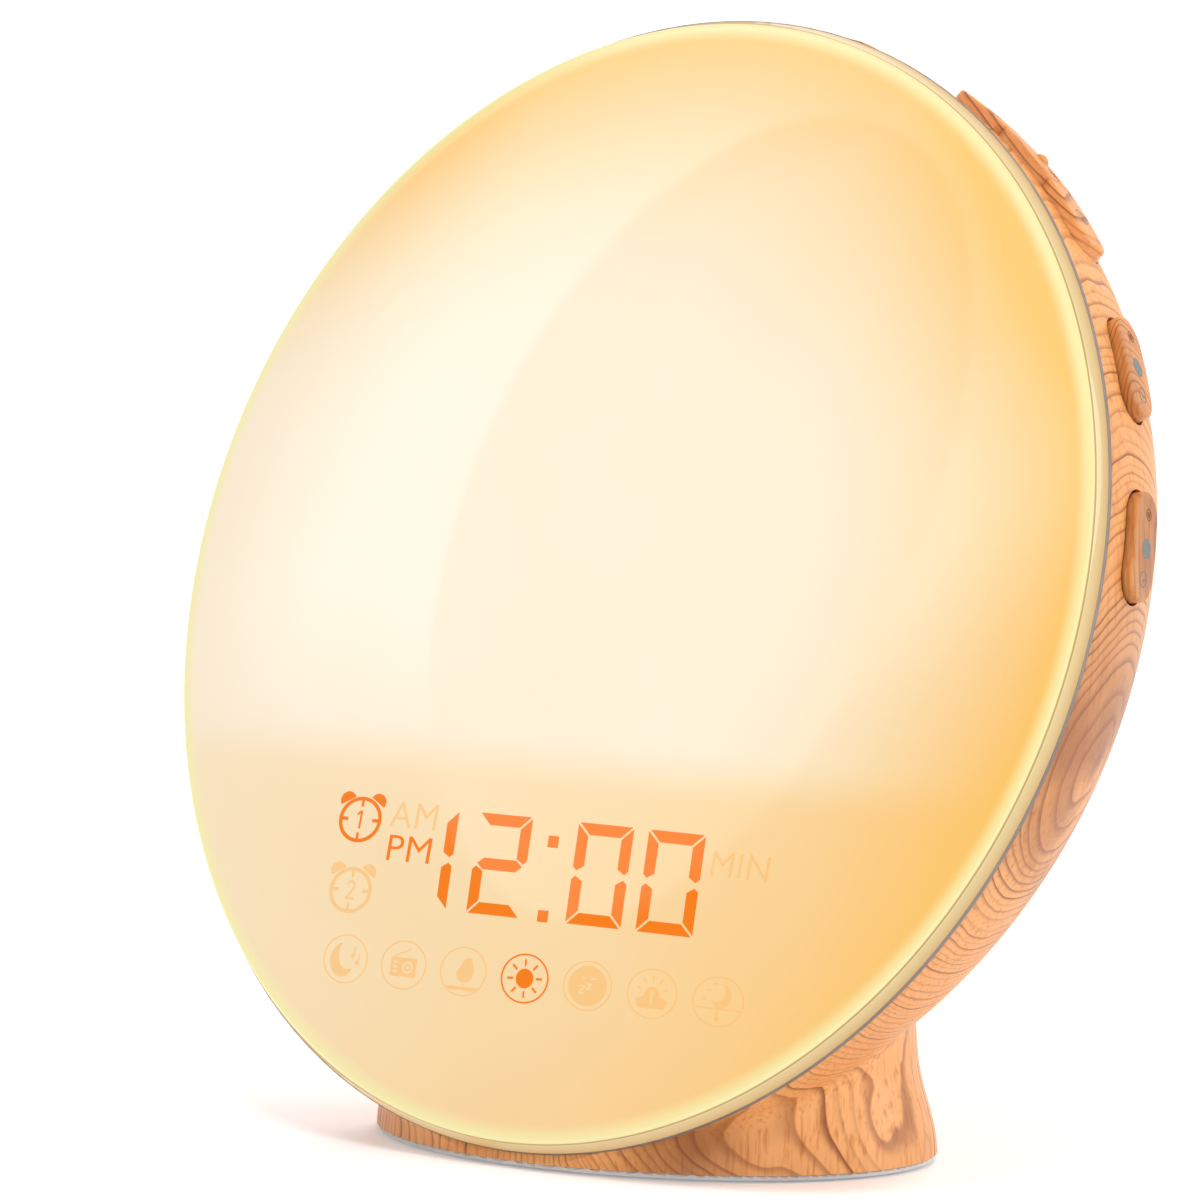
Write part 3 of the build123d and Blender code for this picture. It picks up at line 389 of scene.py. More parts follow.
NODE_MATERIALS = {
    "back_shell": casing_wood,
    "base_plate": white_abs,
    "base_pads": moulded("rubber_pad", "3B3A39", "2C2B2A", 0.8, 1.2),
    "mid_frame": grey_abs,
    "reflector_plate": moulded("white_reflector", "F4F4F1", "EDEDE8", 0.35),
    "light_board": circuit_board("white_light_board"),
    "light_chips": emitter_chip("warm_led_package"),
    "display_light_box": moulded("black_light_box", "232222", "191818", 0.6),
    "display_film": moulded("smoked_film", "2B2622", "241F1B", 0.25, 0.3),
    "display_board": circuit_board("display_fibreglass_board"),
    "display_leds": emitter_chip("amber_led_package"),
    "main_board": circuit_board("green_fibreglass_board"),
    "main_board_chips": moulded("epoxy_chip_package", "222326", "191A1C", 0.5),
    "coin_cell_holder": moulded("black_cell_holder", "1E1E1F", "161617", 0.5),
    "coin_cell": metal("nickel_plated_cell", "D9D6CE", "C6C3BB", 0.28),
    "display_ribbon": moulded("ribbon_jacket", "D9D4C6", "CFC9B8", 0.5, 0.4),
    "speaker_lead": moulded("lead_jacket", "B3261E", "9C1F18", 0.5, 0.6),
    "speaker_basket": metal("zinc_plated_basket", "B9BDC1", "A3A7AB", 0.38),
    "speaker_gasket": speaker_paper("foam_gasket"),
    "speaker_cone": speaker_paper("pressed_paper_cone"),
    "speaker_magnet": moulded("sintered_ferrite", "3A3B3E", "2D2E31", 0.7, 1.5),
    "io_board": circuit_board("input_fibreglass_board"),
    "usb_a_socket": socket_mouth("usb_shell_steel", 24.6, "D4D6D8"),
    "micro_usb_socket": socket_mouth("micro_shell_steel", 26.2, "DADCDE"),
    "reset_switch": moulded("black_tact_switch", "1D1D1F", "141416", 0.5),
    "reset_plunger": moulded("brown_reset_pin", "4A2F1C", "3C2616", 0.55),
    "case_screws": metal("zinc_plated_case_screw", "C9C6BC", "B4B1A7", 0.3),
    "board_screws": metal("zinc_plated_board_screw", "C9C6BC", "B4B1A7", 0.3),
    "key_switches": moulded("black_key_switch", "1D1D1F", "141416", 0.5),
    "rocker_board": circuit_board("rocker_fibreglass_board"),
    "rocker_switches": moulded("black_rocker_switch", "1D1D1F", "141416", 0.5),
    "rocker_pins": metal("steel_hinge_pin", "C4C6C8", "B0B2B4", 0.25),
}
plunger_plastic = moulded("brown_key_plunger", "6B4528", "5A3920", 0.5)
for name, node in nodes.items():
    material = NODE_MATERIALS.get(name)
    if name.endswith("_key"):
        material = key_wood
    elif name.endswith("_rocker"):
        material = rocker_wood
    elif name.endswith("_plunger") and name != "reset_plunger":
        material = plunger_plastic
    elif name.startswith("key_board"):
        material = NODE_MATERIALS["rocker_board"]
    elif material is None:
        material = white_abs
    node.data.materials.clear()
    node.data.materials.append(material)


# ------------------------------------------------------------------ mesh helpers


def finish_piece(bm, name, material, body, smooth, recalculate=True):
    """Closes a bmesh into a piece at the origin that rides on a body."""
    if recalculate:
        bmesh.ops.remove_doubles(bm, verts=bm.verts, dist=1e-7)
        bmesh.ops.recalc_face_normals(bm, faces=bm.faces)
    mesh = bpy.data.meshes.new(name)
    bm.to_mesh(mesh)
    bm.free()
    mesh.shade_smooth()
    mesh.set_sharp_from_angle(angle=math.radians(smooth))
    mesh.materials.append(material)
    piece = bpy.data.objects.new(name, mesh)
    scene.collection.objects.link(piece)
    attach(piece, body)
    return piece


def smooth_skin(node, name, material):
    """A merged copy of a CAD node, so that its curved faces shade as one surface."""
    bm = bmesh.new()
    bm.from_mesh(nodes[node].data)
    bmesh.ops.remove_doubles(bm, verts=bm.verts, dist=2e-6)
    piece = finish_piece(bm, name, material, nodes[node]["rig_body"], 32, False)
    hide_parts(node)


def lens_height(radius):
    """Height of the lens over its rim plane, in millimetres."""
    return math.sqrt(LENS_SPHERE**2 - radius**2) - LENS_SPHERE + LENS_CROWN


def spun_lens():
    """The crowned lens: one profile of its outside and inside, spun once round."""
    profile = [(LENS_RADIUS * k / 40, lens_height(LENS_RADIUS * k / 40)) for k in range(40)]
    for k in range(7):
        turn = math.radians(84 - 14 * k)
        centre = (LENS_RADIUS - LENS_EDGE, lens_height(LENS_RADIUS - LENS_EDGE) - LENS_EDGE)
        profile.append((centre[0] + LENS_EDGE * math.cos(turn), centre[1] + LENS_EDGE * math.sin(turn)))
    profile += [(SKIRT_RADIUS, -SKIRT_DEPTH), (LIP_RADIUS, -SKIRT_DEPTH), (LIP_RADIUS, -LIP_DEPTH)]
    inside = LIP_RADIUS - 1.6
    profile += [(inside, -LIP_DEPTH)]
    profile += [(inside * k / 12, lens_height(inside * k / 12) - LENS_WALL) for k in range(12, -1, -1)]
    bm = bmesh.new()
    verts = [bm.verts.new((r * MM, 0, z * MM)) for r, z in profile]
    edges = [bm.edges.new(pair) for pair in zip(verts, verts[1:])]
    settings = {"cent": (0, 0, 0), "axis": (0, 0, 1), "angle": 2 * math.pi, "steps": 192, "use_merge": True}
    bmesh.ops.spin(bm, geom=verts + edges, **settings)
    bmesh.ops.transform(bm, matrix=HEAD, verts=bm.verts)
    piece = finish_piece(bm, "lens_diffuser", lens_acrylic, "casing", 28)
    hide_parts("front_lens")


# ------------------------------------------------------------------ marks of the display, on the lens

PROUD = 0.045
ROOT = 0.15


def flat_ring(bm, centre, radius, width, segments, squash=1.0):
    """A ring band lying at z = 0."""
    outer = bmesh.ops.create_circle(bm, segments=segments, radius=radius, cap_ends=False)["verts"]
    inner = bmesh.ops.create_circle(bm, segments=segments, radius=radius - width, cap_ends=False)["verts"]
    rims = list({e for v in outer + inner for e in v.link_edges})
    bmesh.ops.bridge_loops(bm, edges=rims)
    move = Matrix.Translation((*centre, 0)) @ Matrix.Diagonal((1, squash, 1, 1))
    bmesh.ops.transform(bm, matrix=move, verts=outer + inner)


def flat_disc(bm, centre, radius, squash=1.0, segments=32):
    verts = bmesh.ops.create_circle(bm, segments=segments, radius=radius, cap_ends=True)["verts"]
    move = Matrix.Translation((*centre, 0)) @ Matrix.Diagonal((1, squash, 1, 1))
    bmesh.ops.transform(bm, matrix=move, verts=verts)


def flat_bar(bm, start, end, width):
    """A straight stroke between two points."""
    start, end = Vector(start), Vector(end)
    run = end - start
    verts = bmesh.ops.create_grid(bm, x_segments=1, y_segments=1, size=0.5)["verts"]
    middle = (start + end) / 2
    turn = Matrix.Rotation(math.atan2(run.y, run.x), 4, "Z")
    move = Matrix.Translation((middle.x, middle.y, 0)) @ turn @ Matrix.Diagonal((run.length, width, 1, 1))
    bmesh.ops.transform(bm, matrix=move, verts=verts)


def flat_shape(bm, corners):
    """One flat face with these corners."""
    bm.faces.new([bm.verts.new((x, y, 0)) for x, y in corners])


def arc(centre, radius, first, last, steps, squash=1.0):
    angles = [math.radians(first + (last - first) * k / steps) for k in range(steps + 1)]
    return [(centre[0] + radius * math.cos(a), centre[1] + radius * squash * math.sin(a)) for a in angles]


def crescent(bm, centre, radius, lean):
    """A moon: between its outer arc and the arc of the shadow."""
    shadow = 0.62 * radius
    heading = math.radians(lean)
    outer = arc(centre, radius, 60 + lean, 300 + lean, 20)
    first, last = Vector(outer[0]), Vector(outer[-1])
    bite = Vector(centre) + Vector((math.cos(heading), math.sin(heading))) * shadow
    reach = (first - bite).length
    start = math.degrees(math.atan2(last.y - bite.y, last.x - bite.x))
    stop = math.degrees(math.atan2(first.y - bite.y, first.x - bite.x))
    if start < stop:
        start += 360
    inner = arc(bite, reach, start, stop, 14)
    flat_shape(bm, outer + inner[1:-1])


def thicken(bm):
    """Turns the flat marks to face up and gives them sides; returns the vertices of their tops."""
    top = list(bm.faces)
    bmesh.ops.recalc_face_normals(bm, faces=top)
    for face in top:
        if face.normal.z < 0:
            face.normal_flip()
    made = bmesh.ops.extrude_face_region(bm, geom=top)["geom"]
    return {v for v in made if isinstance(v, bmesh.types.BMVert)}


def on_lens(bm, name, material, slant, row, proud=PROUD):
    """Leans the marks, lays them on the crowned lens, roots them in it and makes them a piece."""
    lean = math.tan(math.radians(slant))
    raised = thicken(bm)
    for v in bm.verts:
        x = v.co.x - (v.co.y - row) * lean
        height = lens_height(math.hypot(x, v.co.y))
        v.co = Vector((x, v.co.y, height + (proud if v in raised else -ROOT))) * MM
    bmesh.ops.transform(bm, matrix=HEAD, verts=bm.verts)
    finish_piece(bm, name, material, "casing", 20)


lit_ink = milky_acrylic("display_lit_orange", "FC7F10", 0.97)
ghost_ink = milky_acrylic("display_ghost_amber", "FFC57A", 0.68)

# Seven-segment digits: half height and width, stroke widths and the gap at the mitred ends
DIGIT_HALF = (5.6, 8.0)
POST = 2.2
BAR = 1.85
GAP = 0.28
SLANT = 1.8
WORD_SLANT = -0.6
# Height of a capital as a share of the letter's size, and how much thinner its strokes are drawn
CAP_HEIGHT = 0.72
LETTER_THINNING = 0.045
DIGIT_ROW = -48.5
DIGIT_COLUMNS = (-24.6, -8.95, 11.8, 26.0)
COLON_ENDS = (0.4, 2.55)
COLON_ROWS = (-44.0, -55.8)


def digit(bm, column, shown):
    """Segments named top, up_right, low_right, bottom, low_left, up_left, middle."""
    w, h = DIGIT_HALF
    g = GAP
    shapes = {
        "top": [(-w + g, h), (w - g, h), (w - POST - g, h - BAR), (-w + POST + g, h - BAR)],
        "middle": [
            (-w + g + 0.6, 0),
            (-w + POST, BAR / 2),
            (w - POST, BAR / 2),
            (w - g - 0.6, 0),
            (w - POST, -BAR / 2),
            (-w + POST, -BAR / 2),
        ],
        "up_right": [
            (w, h - g),
            (w - POST, h - BAR - g),
            (w - POST, BAR / 2 + g),
            (w - 0.75, g + 0.15),
            (w, g + 0.75),
        ],
    }
    shapes["bottom"] = [(x, -y) for x, y in reversed(shapes["top"])]
    shapes["low_right"] = [(x, -y) for x, y in reversed(shapes["up_right"])]
    shapes["up_left"] = [(-x, y) for x, y in reversed(shapes["up_right"])]
    shapes["low_left"] = [(-x, -y) for x, y in shapes["up_right"]]
    for part in shown:
        flat_shape(bm, [(column + x, DIGIT_ROW + y) for x, y in shapes[part]])


def display_digits():
    bm = bmesh.new()
    digit(bm, DIGIT_COLUMNS[0], ("up_right", "low_right"))
    digit(bm, DIGIT_COLUMNS[1], ("top", "up_right", "middle", "low_left", "bottom"))
    for column in DIGIT_COLUMNS[2:]:
        digit(bm, column, ("top", "up_right", "low_right", "bottom", "low_left", "up_left"))
    for row in COLON_ROWS:
        flat_bar(bm, (COLON_ENDS[0], row), (COLON_ENDS[1], row), BAR)
    on_lens(bm, "display_time", lit_ink, SLANT, DIGIT_ROW)


def bell_clock(bm, centre, number):
    """A twin-bell clock: ring, two bells and four ticks round its number."""
    cx, cy = centre
    flat_ring(bm, centre, 4.75, 0.75, 48, 0.78)
    for side in (-1, 1):
        first, last = (-35, 150) if side > 0 else (25, 215)
        bell = arc((cx + side * 3.35, cy + 3.0), 1.75, first, last, 12, 0.8)
        flat_shape(bm, bell)
    for x, y in ((1, 0), (-1, 0), (0, 1), (0, -1)):
        flat_bar(bm, (cx + 2.7 * x, cy + 2.1 * y), (cx + 4.1 * x, cy + 3.2 * y), 0.55)
    if number == 1:
        flat_bar(bm, (cx + 0.1, cy + 1.45), (cx + 0.1, cy - 1.45), 0.42)
        flat_bar(bm, (cx + 0.1, cy + 1.4), (cx - 0.75, cy + 0.8), 0.36)
    else:
        upper = arc((cx, cy + 0.65), 0.8, 170, -35, 10)
        for first, last in zip(upper, upper[1:]):
            flat_bar(bm, first, last, 0.36)
        flat_bar(bm, upper[-1], (cx - 0.8, cy - 1.3), 0.36)
        flat_bar(bm, (cx - 0.9, cy - 1.35), (cx + 0.9, cy - 1.35), 0.36)


def word(name, text, place, height, stretch, material):
    """A printed word, made a mesh before it is laid on the lens."""
    letters = bpy.data.curves.new(name + "_letters", "FONT")
    letters.body = text
    letters.size = height / CAP_HEIGHT
    letters.offset = -LETTER_THINNING
    letters.resolution_u = 4
    letters.space_character = 1.05
    holder = bpy.data.objects.new(name + "_letters", letters)
    scene.collection.objects.link(holder)
    bpy.context.view_layer.update()
    mesh = bpy.data.meshes.new_from_object(holder)
    bm = bmesh.new()
    bm.from_mesh(mesh)
    bpy.data.objects.remove(holder)
    bpy.data.meshes.remove(mesh)
    low = min(v.co.x for v in bm.verts)
    widen = Matrix.Diagonal((stretch, 1, 1, 1)) @ Matrix.Translation((-low, 0, 0))
    move = Matrix.Translation((*place, 0)) @ widen
    bmesh.ops.transform(bm, matrix=move, verts=bm.verts)
    on_lens(bm, name, material, WORD_SLANT, place[1])


SYMBOL_ROW = -65.8
SYMBOL_PITCH = 12.92


def symbol(bm, k, width):
    """Ring round one of the seven mode symbols; returns its centre."""
    centre = ((k - 3) * SYMBOL_PITCH, SYMBOL_ROW)
    flat_ring(bm, centre, 4.95, width, 56, 0.79)
    return centre


def sun_symbol():
    bm = bmesh.new()
    cx, cy = symbol(bm, 3, 0.32)
    flat_disc(bm, (cx, cy), 1.8, 0.86)
    for k in range(8):
        a = math.radians(45 * k + 3)
        c, s = math.cos(a), 0.84 * math.sin(a)
        flat_bar(bm, (cx + 2.35 * c, cy + 2.35 * s), (cx + 3.6 * c, cy + 3.6 * s), 0.36)
    on_lens(bm, "display_sun_symbol", lit_ink, SLANT, SYMBOL_ROW)


def ghost_symbols():
    bm = bmesh.new()
    cx, cy = symbol(bm, 0, 0.25)
    crescent(bm, (cx - 0.7, cy - 0.2), 2.7, 35)
    for dx, dy in ((1.5, 0.6), (2.6, -0.5)):
        flat_disc(bm, (cx + dx, cy + dy), 0.38)
        flat_bar(bm, (cx + dx + 0.3, cy + dy), (cx + dx + 0.45, cy + dy + 1.5), 0.25)
    cx, cy = symbol(bm, 1, 0.25)
    flat_bar(bm, (cx - 2.8, cy - 0.35), (cx + 2.8, cy - 0.35), 3.0)
    flat_bar(bm, (cx - 2.2, cy + 1.3), (cx + 1.2, cy + 2.6), 0.2)
    cx, cy = symbol(bm, 2, 0.25)
    crown = [(cx + 1.4, cy + 2.3), (cx + 0.1, cy + 2.0)]
    flat_shape(bm, arc((cx + 0.3, cy + 0.2), 1.9, 200, 380, 14) + crown)
    flat_bar(bm, (cx + 0.2, cy - 1.6), (cx + 0.2, cy - 2.5), 0.18)
    ground = [(cx - 3.5, cy - 2.4), (cx + 3.5, cy - 2.4), (cx + 2.6, cy - 2.95), (cx - 2.6, cy - 2.95)]
    flat_shape(bm, ground)
    cx, cy = symbol(bm, 4, 0.25)
    flat_disc(bm, (cx, cy), 3.9, 0.8)
    cx, cy = symbol(bm, 5, 0.25)
    hills = [(cx - 3.2, cy - 1.0), (cx - 2.6, cy - 2.3), (cx + 2.6, cy - 2.3), (cx + 3.2, cy - 1.0)]
    flat_shape(bm, arc((cx, cy - 0.4), 1.5, 0, 180, 14) + hills)
    for a in (20, 55, 90, 125, 160):
        c, s = math.cos(math.radians(a)), math.sin(math.radians(a))
        flat_bar(bm, (cx + 2.2 * c, cy - 0.2 + 2.1 * s), (cx + 3.2 * c, cy - 0.2 + 3.0 * s), 0.26)
    cx, cy = symbol(bm, 6, 0.25)
    crescent(bm, (cx + 0.5, cy + 0.9), 1.9, 145)
    flat_bar(bm, (cx - 4.3, cy - 1.1), (cx + 4.3, cy - 1.1), 0.2)
    flat_bar(bm, (cx, cy - 1.3), (cx, cy - 3.0), 0.3)
    flat_shape(bm, [(cx - 0.6, cy - 2.4), (cx, cy - 3.3), (cx + 0.6, cy - 2.4)])
    for dx, dy in ((-2.0, 1.6), (-2.9, 0.2), (-0.9, 2.7)):
        flat_bar(bm, (cx + dx - 0.4, cy + dy), (cx + dx + 0.4, cy + dy), 0.2)
    on_lens(bm, "display_mode_symbols", ghost_ink, SLANT, SYMBOL_ROW)
    # What is left clear inside the filled symbols lies a hair over them, in the lens's own colour.
    bm = bmesh.new()
    cx, cy = -2 * SYMBOL_PITCH, SYMBOL_ROW
    flat_ring(bm, (cx + 0.9, cy - 0.35), 1.1, 0.3, 32, 0.84)
    flat_disc(bm, (cx + 0.9, cy - 0.35), 0.35, 0.84)
    for row in (-1, 0, 1):
        flat_bar(bm, (cx - 2.2, cy - 0.35 + row * 0.75), (cx - 1.3, cy - 0.35 + row * 0.75), 0.28)
    cx = SYMBOL_PITCH
    for dx, dy, size in ((-1.7, -1.2, 1.3), (-0.1, -0.5, 0.95)):
        left, right, low, high = cx + dx, cx + dx + size, cy + dy, cy + dy + size * 0.85
        flat_bar(bm, (left, high), (right, high), 0.24)
        flat_bar(bm, (right - 0.05, high), (left + 0.05, low), 0.24)
        flat_bar(bm, (left, low), (right, low), 0.24)
    for dx in (-0.9, 1.1):
        flat_bar(bm, (cx + dx - 0.5, cy + 1.2), (cx + dx + 0.5, cy + 1.2), 0.24)
    cx = 2 * SYMBOL_PITCH
    flat_bar(bm, (cx, cy - 1.8), (cx, cy + 0.1), 0.35)
    flat_shape(bm, [(cx - 0.6, cy - 0.1), (cx + 0.6, cy - 0.1), (cx, cy + 0.55)])
    on_lens(bm, "display_symbol_cuts", lens_acrylic, SLANT, SYMBOL_ROW, 1.6 * PROUD)


def display_marks():
    display_digits()
    bm = bmesh.new()
    bell_clock(bm, (-40.6, -43.4), 1)
    on_lens(bm, "display_alarm_1", lit_ink, WORD_SLANT, -43.4)
    bm = bmesh.new()
    bell_clock(bm, (-40.1, -54.8), 2)
    on_lens(bm, "display_alarm_2", ghost_ink, WORD_SLANT, -54.8)
    word("display_am", "AM", (-34.0, -44.1), 4.4, 1.2, ghost_ink)
    word("display_pm", "PM", (-33.4, -49.5), 4.4, 1.32, lit_ink)
    word("display_min", "MIN", (33.4, -46.7), 4.2, 1.1, ghost_ink)
    sun_symbol()
    ghost_symbols()


# ------------------------------------------------------------------ marks printed on the keys and rockers

# The row of keys behind the lens, the keys' step along it, the turn of the side strips in degrees
KEY_ROW = -13.3
KEY_PITCH = 2 * LENS_RADIUS * math.sin(math.radians(12.5)) / 3
STRIP_TURN = 37
BESIDE_NUB = 3.9
# How far the ink stands out and reaches in, and the radius from which it is laid down
INK_PROUD = 0.03
INK_ROOT = 0.12
RAY_START = 110
ROCKER_TURNS = (("upper_rocker", 63.0), ("lower_rocker", 81.5))
grey_ink = printed_mark("grey_screen_ink", "7D817E", "6E726F")
brown_ink = printed_mark("brown_screen_ink", "8A4A22", "7A3D1A")


def rim_frame(angle):
    """Frame on the key row: x along the rim, y to the back, z straight outwards."""
    a = math.radians(angle)
    x, z = Vector((math.cos(a), -math.sin(a), 0)), Vector((math.sin(a), math.cos(a), 0))
    turn = Matrix((x, z.cross(x), z)).transposed().to_4x4()
    return HEAD @ Matrix.Translation((0, 0, KEY_ROW * MM)) @ turn


def on_key(bm, node, angle, name, material):
    """Lays flat marks on the outside of a key or rocker and roots them in it."""
    source = nodes[node].data
    corners = [v.co for v in source.vertices]
    tree = BVHTree.FromPolygons(corners, [p.vertices for p in source.polygons])
    frame_at = rim_frame(angle)
    inward = -(frame_at.to_3x3() @ Vector((0, 0, 1)))
    raised = thicken(bm)
    for v in bm.verts:
        start = frame_at @ (Vector((v.co.x, v.co.y, RAY_START)) * MM)
        hit = tree.ray_cast(start, inward)[0]
        if hit is None:
            raise ValueError(name + " lies beside its key")
        v.co = hit + inward * (-INK_PROUD if v in raised else INK_ROOT) * MM
    finish_piece(bm, name, material, nodes[node]["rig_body"], 20)


def clock_mark(bm, centre, radius):
    flat_ring(bm, centre, radius, 0.22, 24)
    flat_bar(bm, centre, (centre[0], centre[1] + radius * 0.62), 0.2)
    flat_bar(bm, centre, (centre[0] + radius * 0.5, centre[1]), 0.2)


def key_marks():
    """Small generic signs: clocks, a moon, a sun, plus and minus, a loudspeaker."""
    for angle, names in (
        (0, ("alarm_1", "snooze", "alarm_2")),
        (STRIP_TURN, ("brighter", "light", "dimmer")),
        (-STRIP_TURN, ("louder", "sound", "quieter")),
    ):
        for step, name in zip((-1, 0, 1), names):
            # The middle key's nub takes its middle, so its sign stands beside the nub.
            at = (step * KEY_PITCH * 1.02 if step else BESIDE_NUB, 0)
            bm = bmesh.new()
            if name.startswith("alarm"):
                clock_mark(bm, at, 1.5)
            elif name == "snooze":
                crescent(bm, at, 1.3, 35)
            elif name == "light":
                flat_disc(bm, at, 0.7)
                for k in range(8):
                    c, s = math.cos(k * math.pi / 4), math.sin(k * math.pi / 4)
                    flat_bar(bm, (at[0] + 0.95 * c, s * 0.95), (at[0] + 1.45 * c, s * 1.45), 0.2)
            elif name == "sound":
                horn = ((-1.1, -0.4), (-0.5, -0.4), (0.3, -1.1), (0.3, 1.1), (-0.5, 0.4), (-1.1, 0.4))
                flat_shape(bm, [(at[0] + x, y) for x, y in horn])
                flat_bar(bm, (at[0] + 0.9, -0.7), (at[0] + 0.9, 0.7), 0.22)
            else:
                flat_ring(bm, at, 1.5, 0.22, 24)
                flat_bar(bm, (at[0] - 0.8, 0), (at[0] + 0.8, 0), 0.24)
                if name in ("brighter", "louder"):
                    flat_bar(bm, (at[0], -0.8), (at[0], -0.12), 0.24)
                    flat_bar(bm, (at[0], 0.12), (at[0], 0.8), 0.24)
            on_key(bm, name + "_key", angle, name + "_mark", grey_ink if step else brown_ink)
    for name, angle in ROCKER_TURNS:
        bm = bmesh.new()
        flat_disc(bm, (0.4, 0), 1.55, 1.0, 28)
        on_key(bm, name, angle, name + "_middle_mark", grey_ink)
        bm = bmesh.new()
        clock_mark(bm, (5.2, 0), 1.3)
        on_key(bm, name, angle, name + "_low_mark", grey_ink)
        bm = bmesh.new()
        flat_disc(bm, (-5.0, 0), 0.55, 1.0, 16)
        flat_ring(bm, (-5.0, 0), 1.0, 0.2, 20)
        on_key(bm, name, angle, name + "_high_mark", brown_ink)


# ------------------------------------------------------------------ build

for node, name, material, slot in (
    ("back_shell", "casing_skin", casing_wood, "wood_print"),
    ("mid_frame", "grey_ring_skin", grey_abs, "grey_frame"),
    ("base_plate", "base_skin", white_abs, "white_plastic"),
):
    smooth_skin(node, name, material)
for name in [n for n in nodes if n.endswith("_key") or n.endswith("_rocker")]:
    smooth_skin(name, name + "_skin", nodes[name].data.materials[0])
spun_lens()
display_marks()
key_marks()


# ------------------------------------------------------------------ stage, light and camera


def stage_floor():
    """White sweep: it takes the object's shadow and is white where the light reaches it."""
    bm = bmesh.new()
    bmesh.ops.create_grid(bm, x_segments=2, y_segments=2, size=6.0)
    mesh = bpy.data.meshes.new("studio_floor")
    bm.to_mesh(mesh)
    bm.free()
    material = bpy.data.materials.new("studio_white")
    material.use_nodes = True
    tree = material.node_tree
    shader = tree.nodes["Principled BSDF"]
    shader.inputs["Base Color"].default_value = tint("F4F4F4")
    shader.inputs["Roughness"].default_value = 0.9
    shader.inputs["Emission Color"].default_value = tint("FFFFFF")
    path = put(tree, "LightPath")
    seen = calc(tree, "MAXIMUM", path.outputs["Is Camera Ray"], path.outputs["Is Glossy Ray"])
    # Far from the object the lamps fall off, so the floor itself is a little brighter there.
    place = put(tree, "TexCoord").outputs["Object"]
    away = put(tree, "VectorMath", {"operation": "LENGTH"}, i0=place).outputs["Value"]
    lift = calc(tree, "MULTIPLY_ADD", band(tree, away, 0.25, 1.2), 0.28, 0.25)
    join(tree, calc(tree, "MULTIPLY", seen, lift), shader.inputs["Emission Strength"])
    mesh.materials.append(material)
    floor = bpy.data.objects.new("studio_floor", mesh)
    scene.collection.objects.link(floor)


def soft_window():
    """A large softbox round a dark oval, which the glossy lens mirrors as a crescent at its left."""
    bm = bmesh.new()
    rim = bmesh.ops.create_circle(bm, segments=128, radius=1.0)["verts"]
    edges = list({e for v in rim for e in v.link_edges})
    grown = bmesh.ops.extrude_edge_only(bm, edges=edges)["geom"]
    outer = [v for v in grown if isinstance(v, bmesh.types.BMVert)]
    middle = Vector((0.035, 0.050, 0))
    for ring, half_width, half_height in ((rim, 0.167, 0.237), (outer, 0.62, 0.60)):
        for v in ring:
            v.co = Vector((v.co.x * half_width, v.co.y * half_height, 0)) + middle
    mesh = bpy.data.meshes.new("soft_window")
    bm.to_mesh(mesh)
    bm.free()
    material = bpy.data.materials.new("softbox_cloth")
    material.use_nodes = True
    tree = material.node_tree
    tree.nodes.remove(tree.nodes["Principled BSDF"])
    x, y = split(tree, put(tree, "TexCoord").outputs["Object"])[:2]
    left = calc(tree, "MULTIPLY", band(tree, x, -0.33, -0.19), 2.9)
    fade = calc(tree, "MULTIPLY_ADD", band(tree, x, -0.08, 0.04), -0.5, left)
    fade = calc(tree, "MULTIPLY_ADD", band(tree, x, 0.24, 0.40), -1.9, fade)
    lower = calc(tree, "MULTIPLY_ADD", calc(tree, "MAXIMUM", x, 0.0), -0.75, y)
    low = band(tree, lower, -0.19, -0.05)
    power = calc(tree, "MULTIPLY", calc(tree, "MAXIMUM", fade, 0.0), low)
    glow = put(tree, "Emission", Color=tint("F2F4FF"), Strength=power)
    join(tree, glow.outputs[0], tree.nodes["Material Output"].inputs[0])
    mesh.materials.append(material)
    window = bpy.data.objects.new("soft_window", mesh)
    scene.collection.objects.link(window)
    # It stands where the lens mirrors the camera, and faces the head's middle.
    towards = Vector((-0.63767, -0.66861, 0.38256))
    across = Vector((0.72365, -0.69017, 0.0))
    upward = Vector((0.26403, 0.27684, 0.92393))
    turn = Matrix((across, upward, across.cross(upward))).transposed().to_4x4()
    window.matrix_world = Matrix.Translation(HEAD_CENTRE + towards * 0.9) @ turn
    window.visible_camera = False
    window.visible_diffuse = False
    window.visible_shadow = False


def area_light(name, place, target, size, power, mirrored=False):
    lamp = bpy.data.lights.new(name, "AREA")
    lamp.shape = "DISK"
    lamp.size = size
    lamp.energy = power
    holder = bpy.data.objects.new(name, lamp)
    scene.collection.objects.link(holder)
    holder.location = place
    aim = Vector(target) - Vector(place)
    holder.rotation_euler = aim.to_track_quat("-Z", "Y").to_euler()
    holder.visible_glossy = mirrored


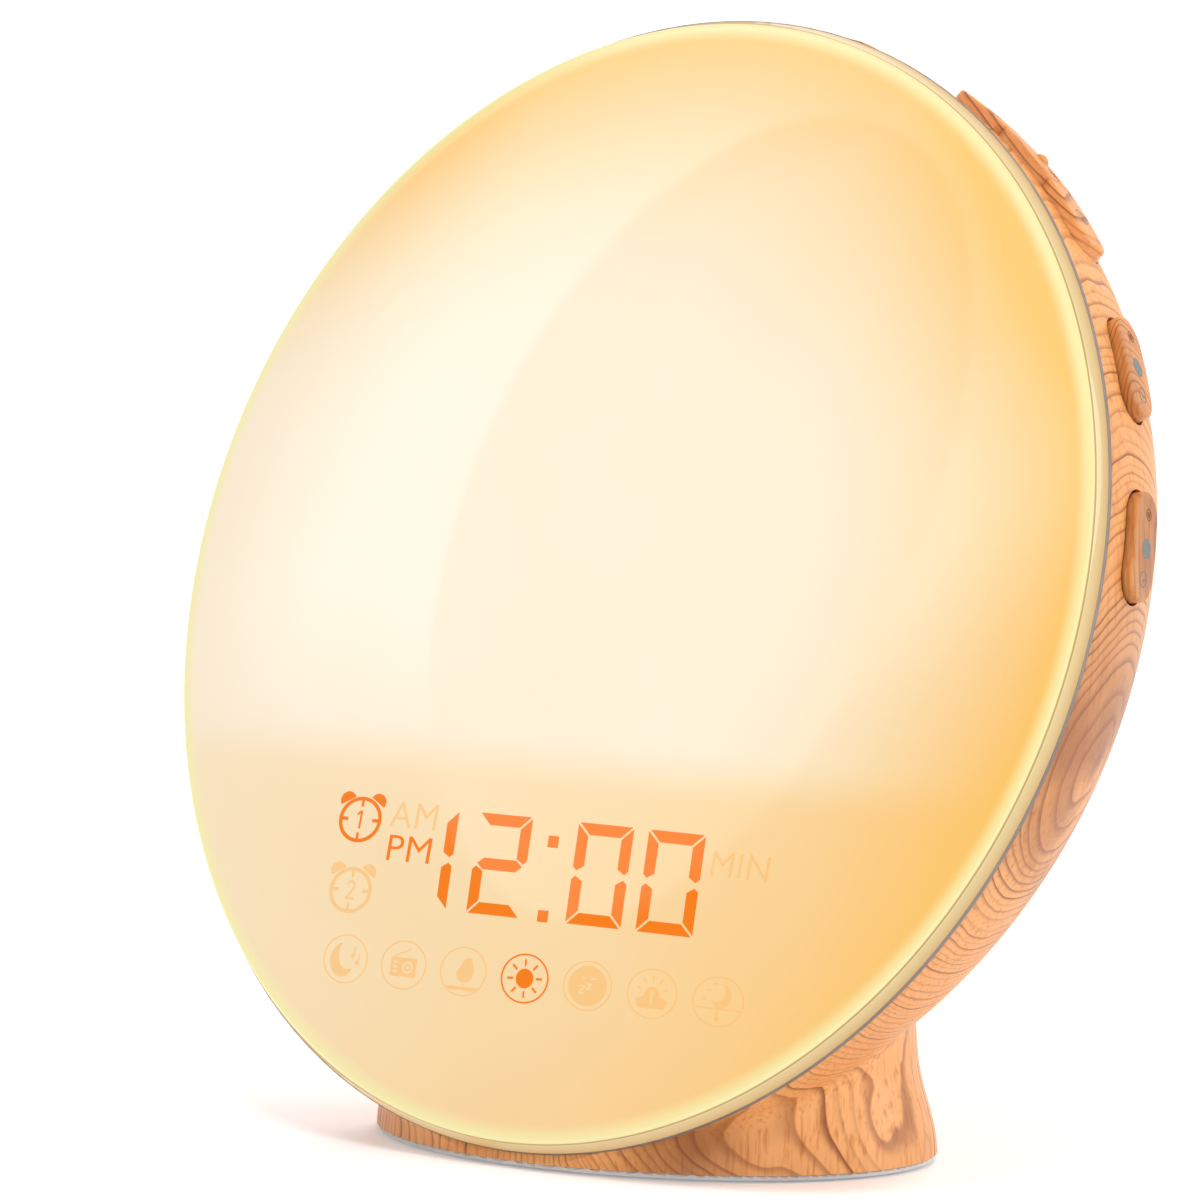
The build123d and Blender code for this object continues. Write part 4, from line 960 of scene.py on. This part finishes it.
def studio_air():
    world = bpy.data.worlds.new("studio_air")
    scene.world = world
    world.use_nodes = True
    tree = world.node_tree
    for node in list(tree.nodes):
        tree.nodes.remove(node)
    path = put(tree, "LightPath")
    seen = calc(tree, "MAXIMUM", path.outputs["Is Camera Ray"], path.outputs["Is Transmission Ray"])
    seen = calc(tree, "MAXIMUM", seen, path.outputs["Is Glossy Ray"])
    strength = calc(tree, "MULTIPLY_ADD", seen, 0.45, 0.55)
    air = put(tree, "Background", Color=tint("FFFFFF"), Strength=strength)
    output = put(tree, "OutputWorld")
    join(tree, air.outputs[0], output.inputs[0])


# Camera: turn and rise in degrees, its place in lens radii, and its focal length in sensor widths
CAMERA_TURN = 40.642
CAMERA_RISE = 5.187
CAMERA_PLACE = (15.136, 0.036, 0.040)
FOCAL_LENGTH = 7.3025
SENSOR = 36


def studio_camera():
    """40.6 degrees round from the front, 5.2 degrees up, 1.39 m away, a long lens."""
    turn, rise = math.radians(CAMERA_TURN), math.radians(CAMERA_RISE)
    back = Vector((math.sin(turn) * math.cos(rise), -math.cos(turn) * math.cos(rise), math.sin(rise)))
    right = Vector((math.cos(turn), math.sin(turn), 0))
    upward = back.cross(right)
    reach = LENS_RADIUS * MM
    away, aside, below = CAMERA_PLACE
    place = HEAD_CENTRE + (back * away - right * aside - upward * below) * reach
    data = bpy.data.cameras.new("studio_camera")
    data.lens = FOCAL_LENGTH * SENSOR
    data.sensor_width = SENSOR
    data.clip_start = 0.05
    data.clip_end = 50
    camera = bpy.data.objects.new("studio_camera", data)
    scene.collection.objects.link(camera)
    camera.matrix_world = Matrix.Translation(place) @ Matrix((right, upward, back)).transposed().to_4x4()
    scene.camera = camera


stage_floor()
soft_window()
area_light("key_above", (0.35, -0.45, 1.25), (0.02, 0, 0.08), 0.5, 6.5)
area_light("fill_back", (-0.4, 0.9, 0.8), (0, 0, 0.09), 0.7, 7.0)
area_light("low_front", (0.35, -0.9, 0.12), (0.02, 0, 0.02), 0.4, 1.5)
area_light("rim_right", (0.8, 0.6, 0.4), (0.08, 0, 0.09), 0.7, 3.4, True)
studio_air()
studio_camera()
scene.view_settings.view_transform = "Standard"
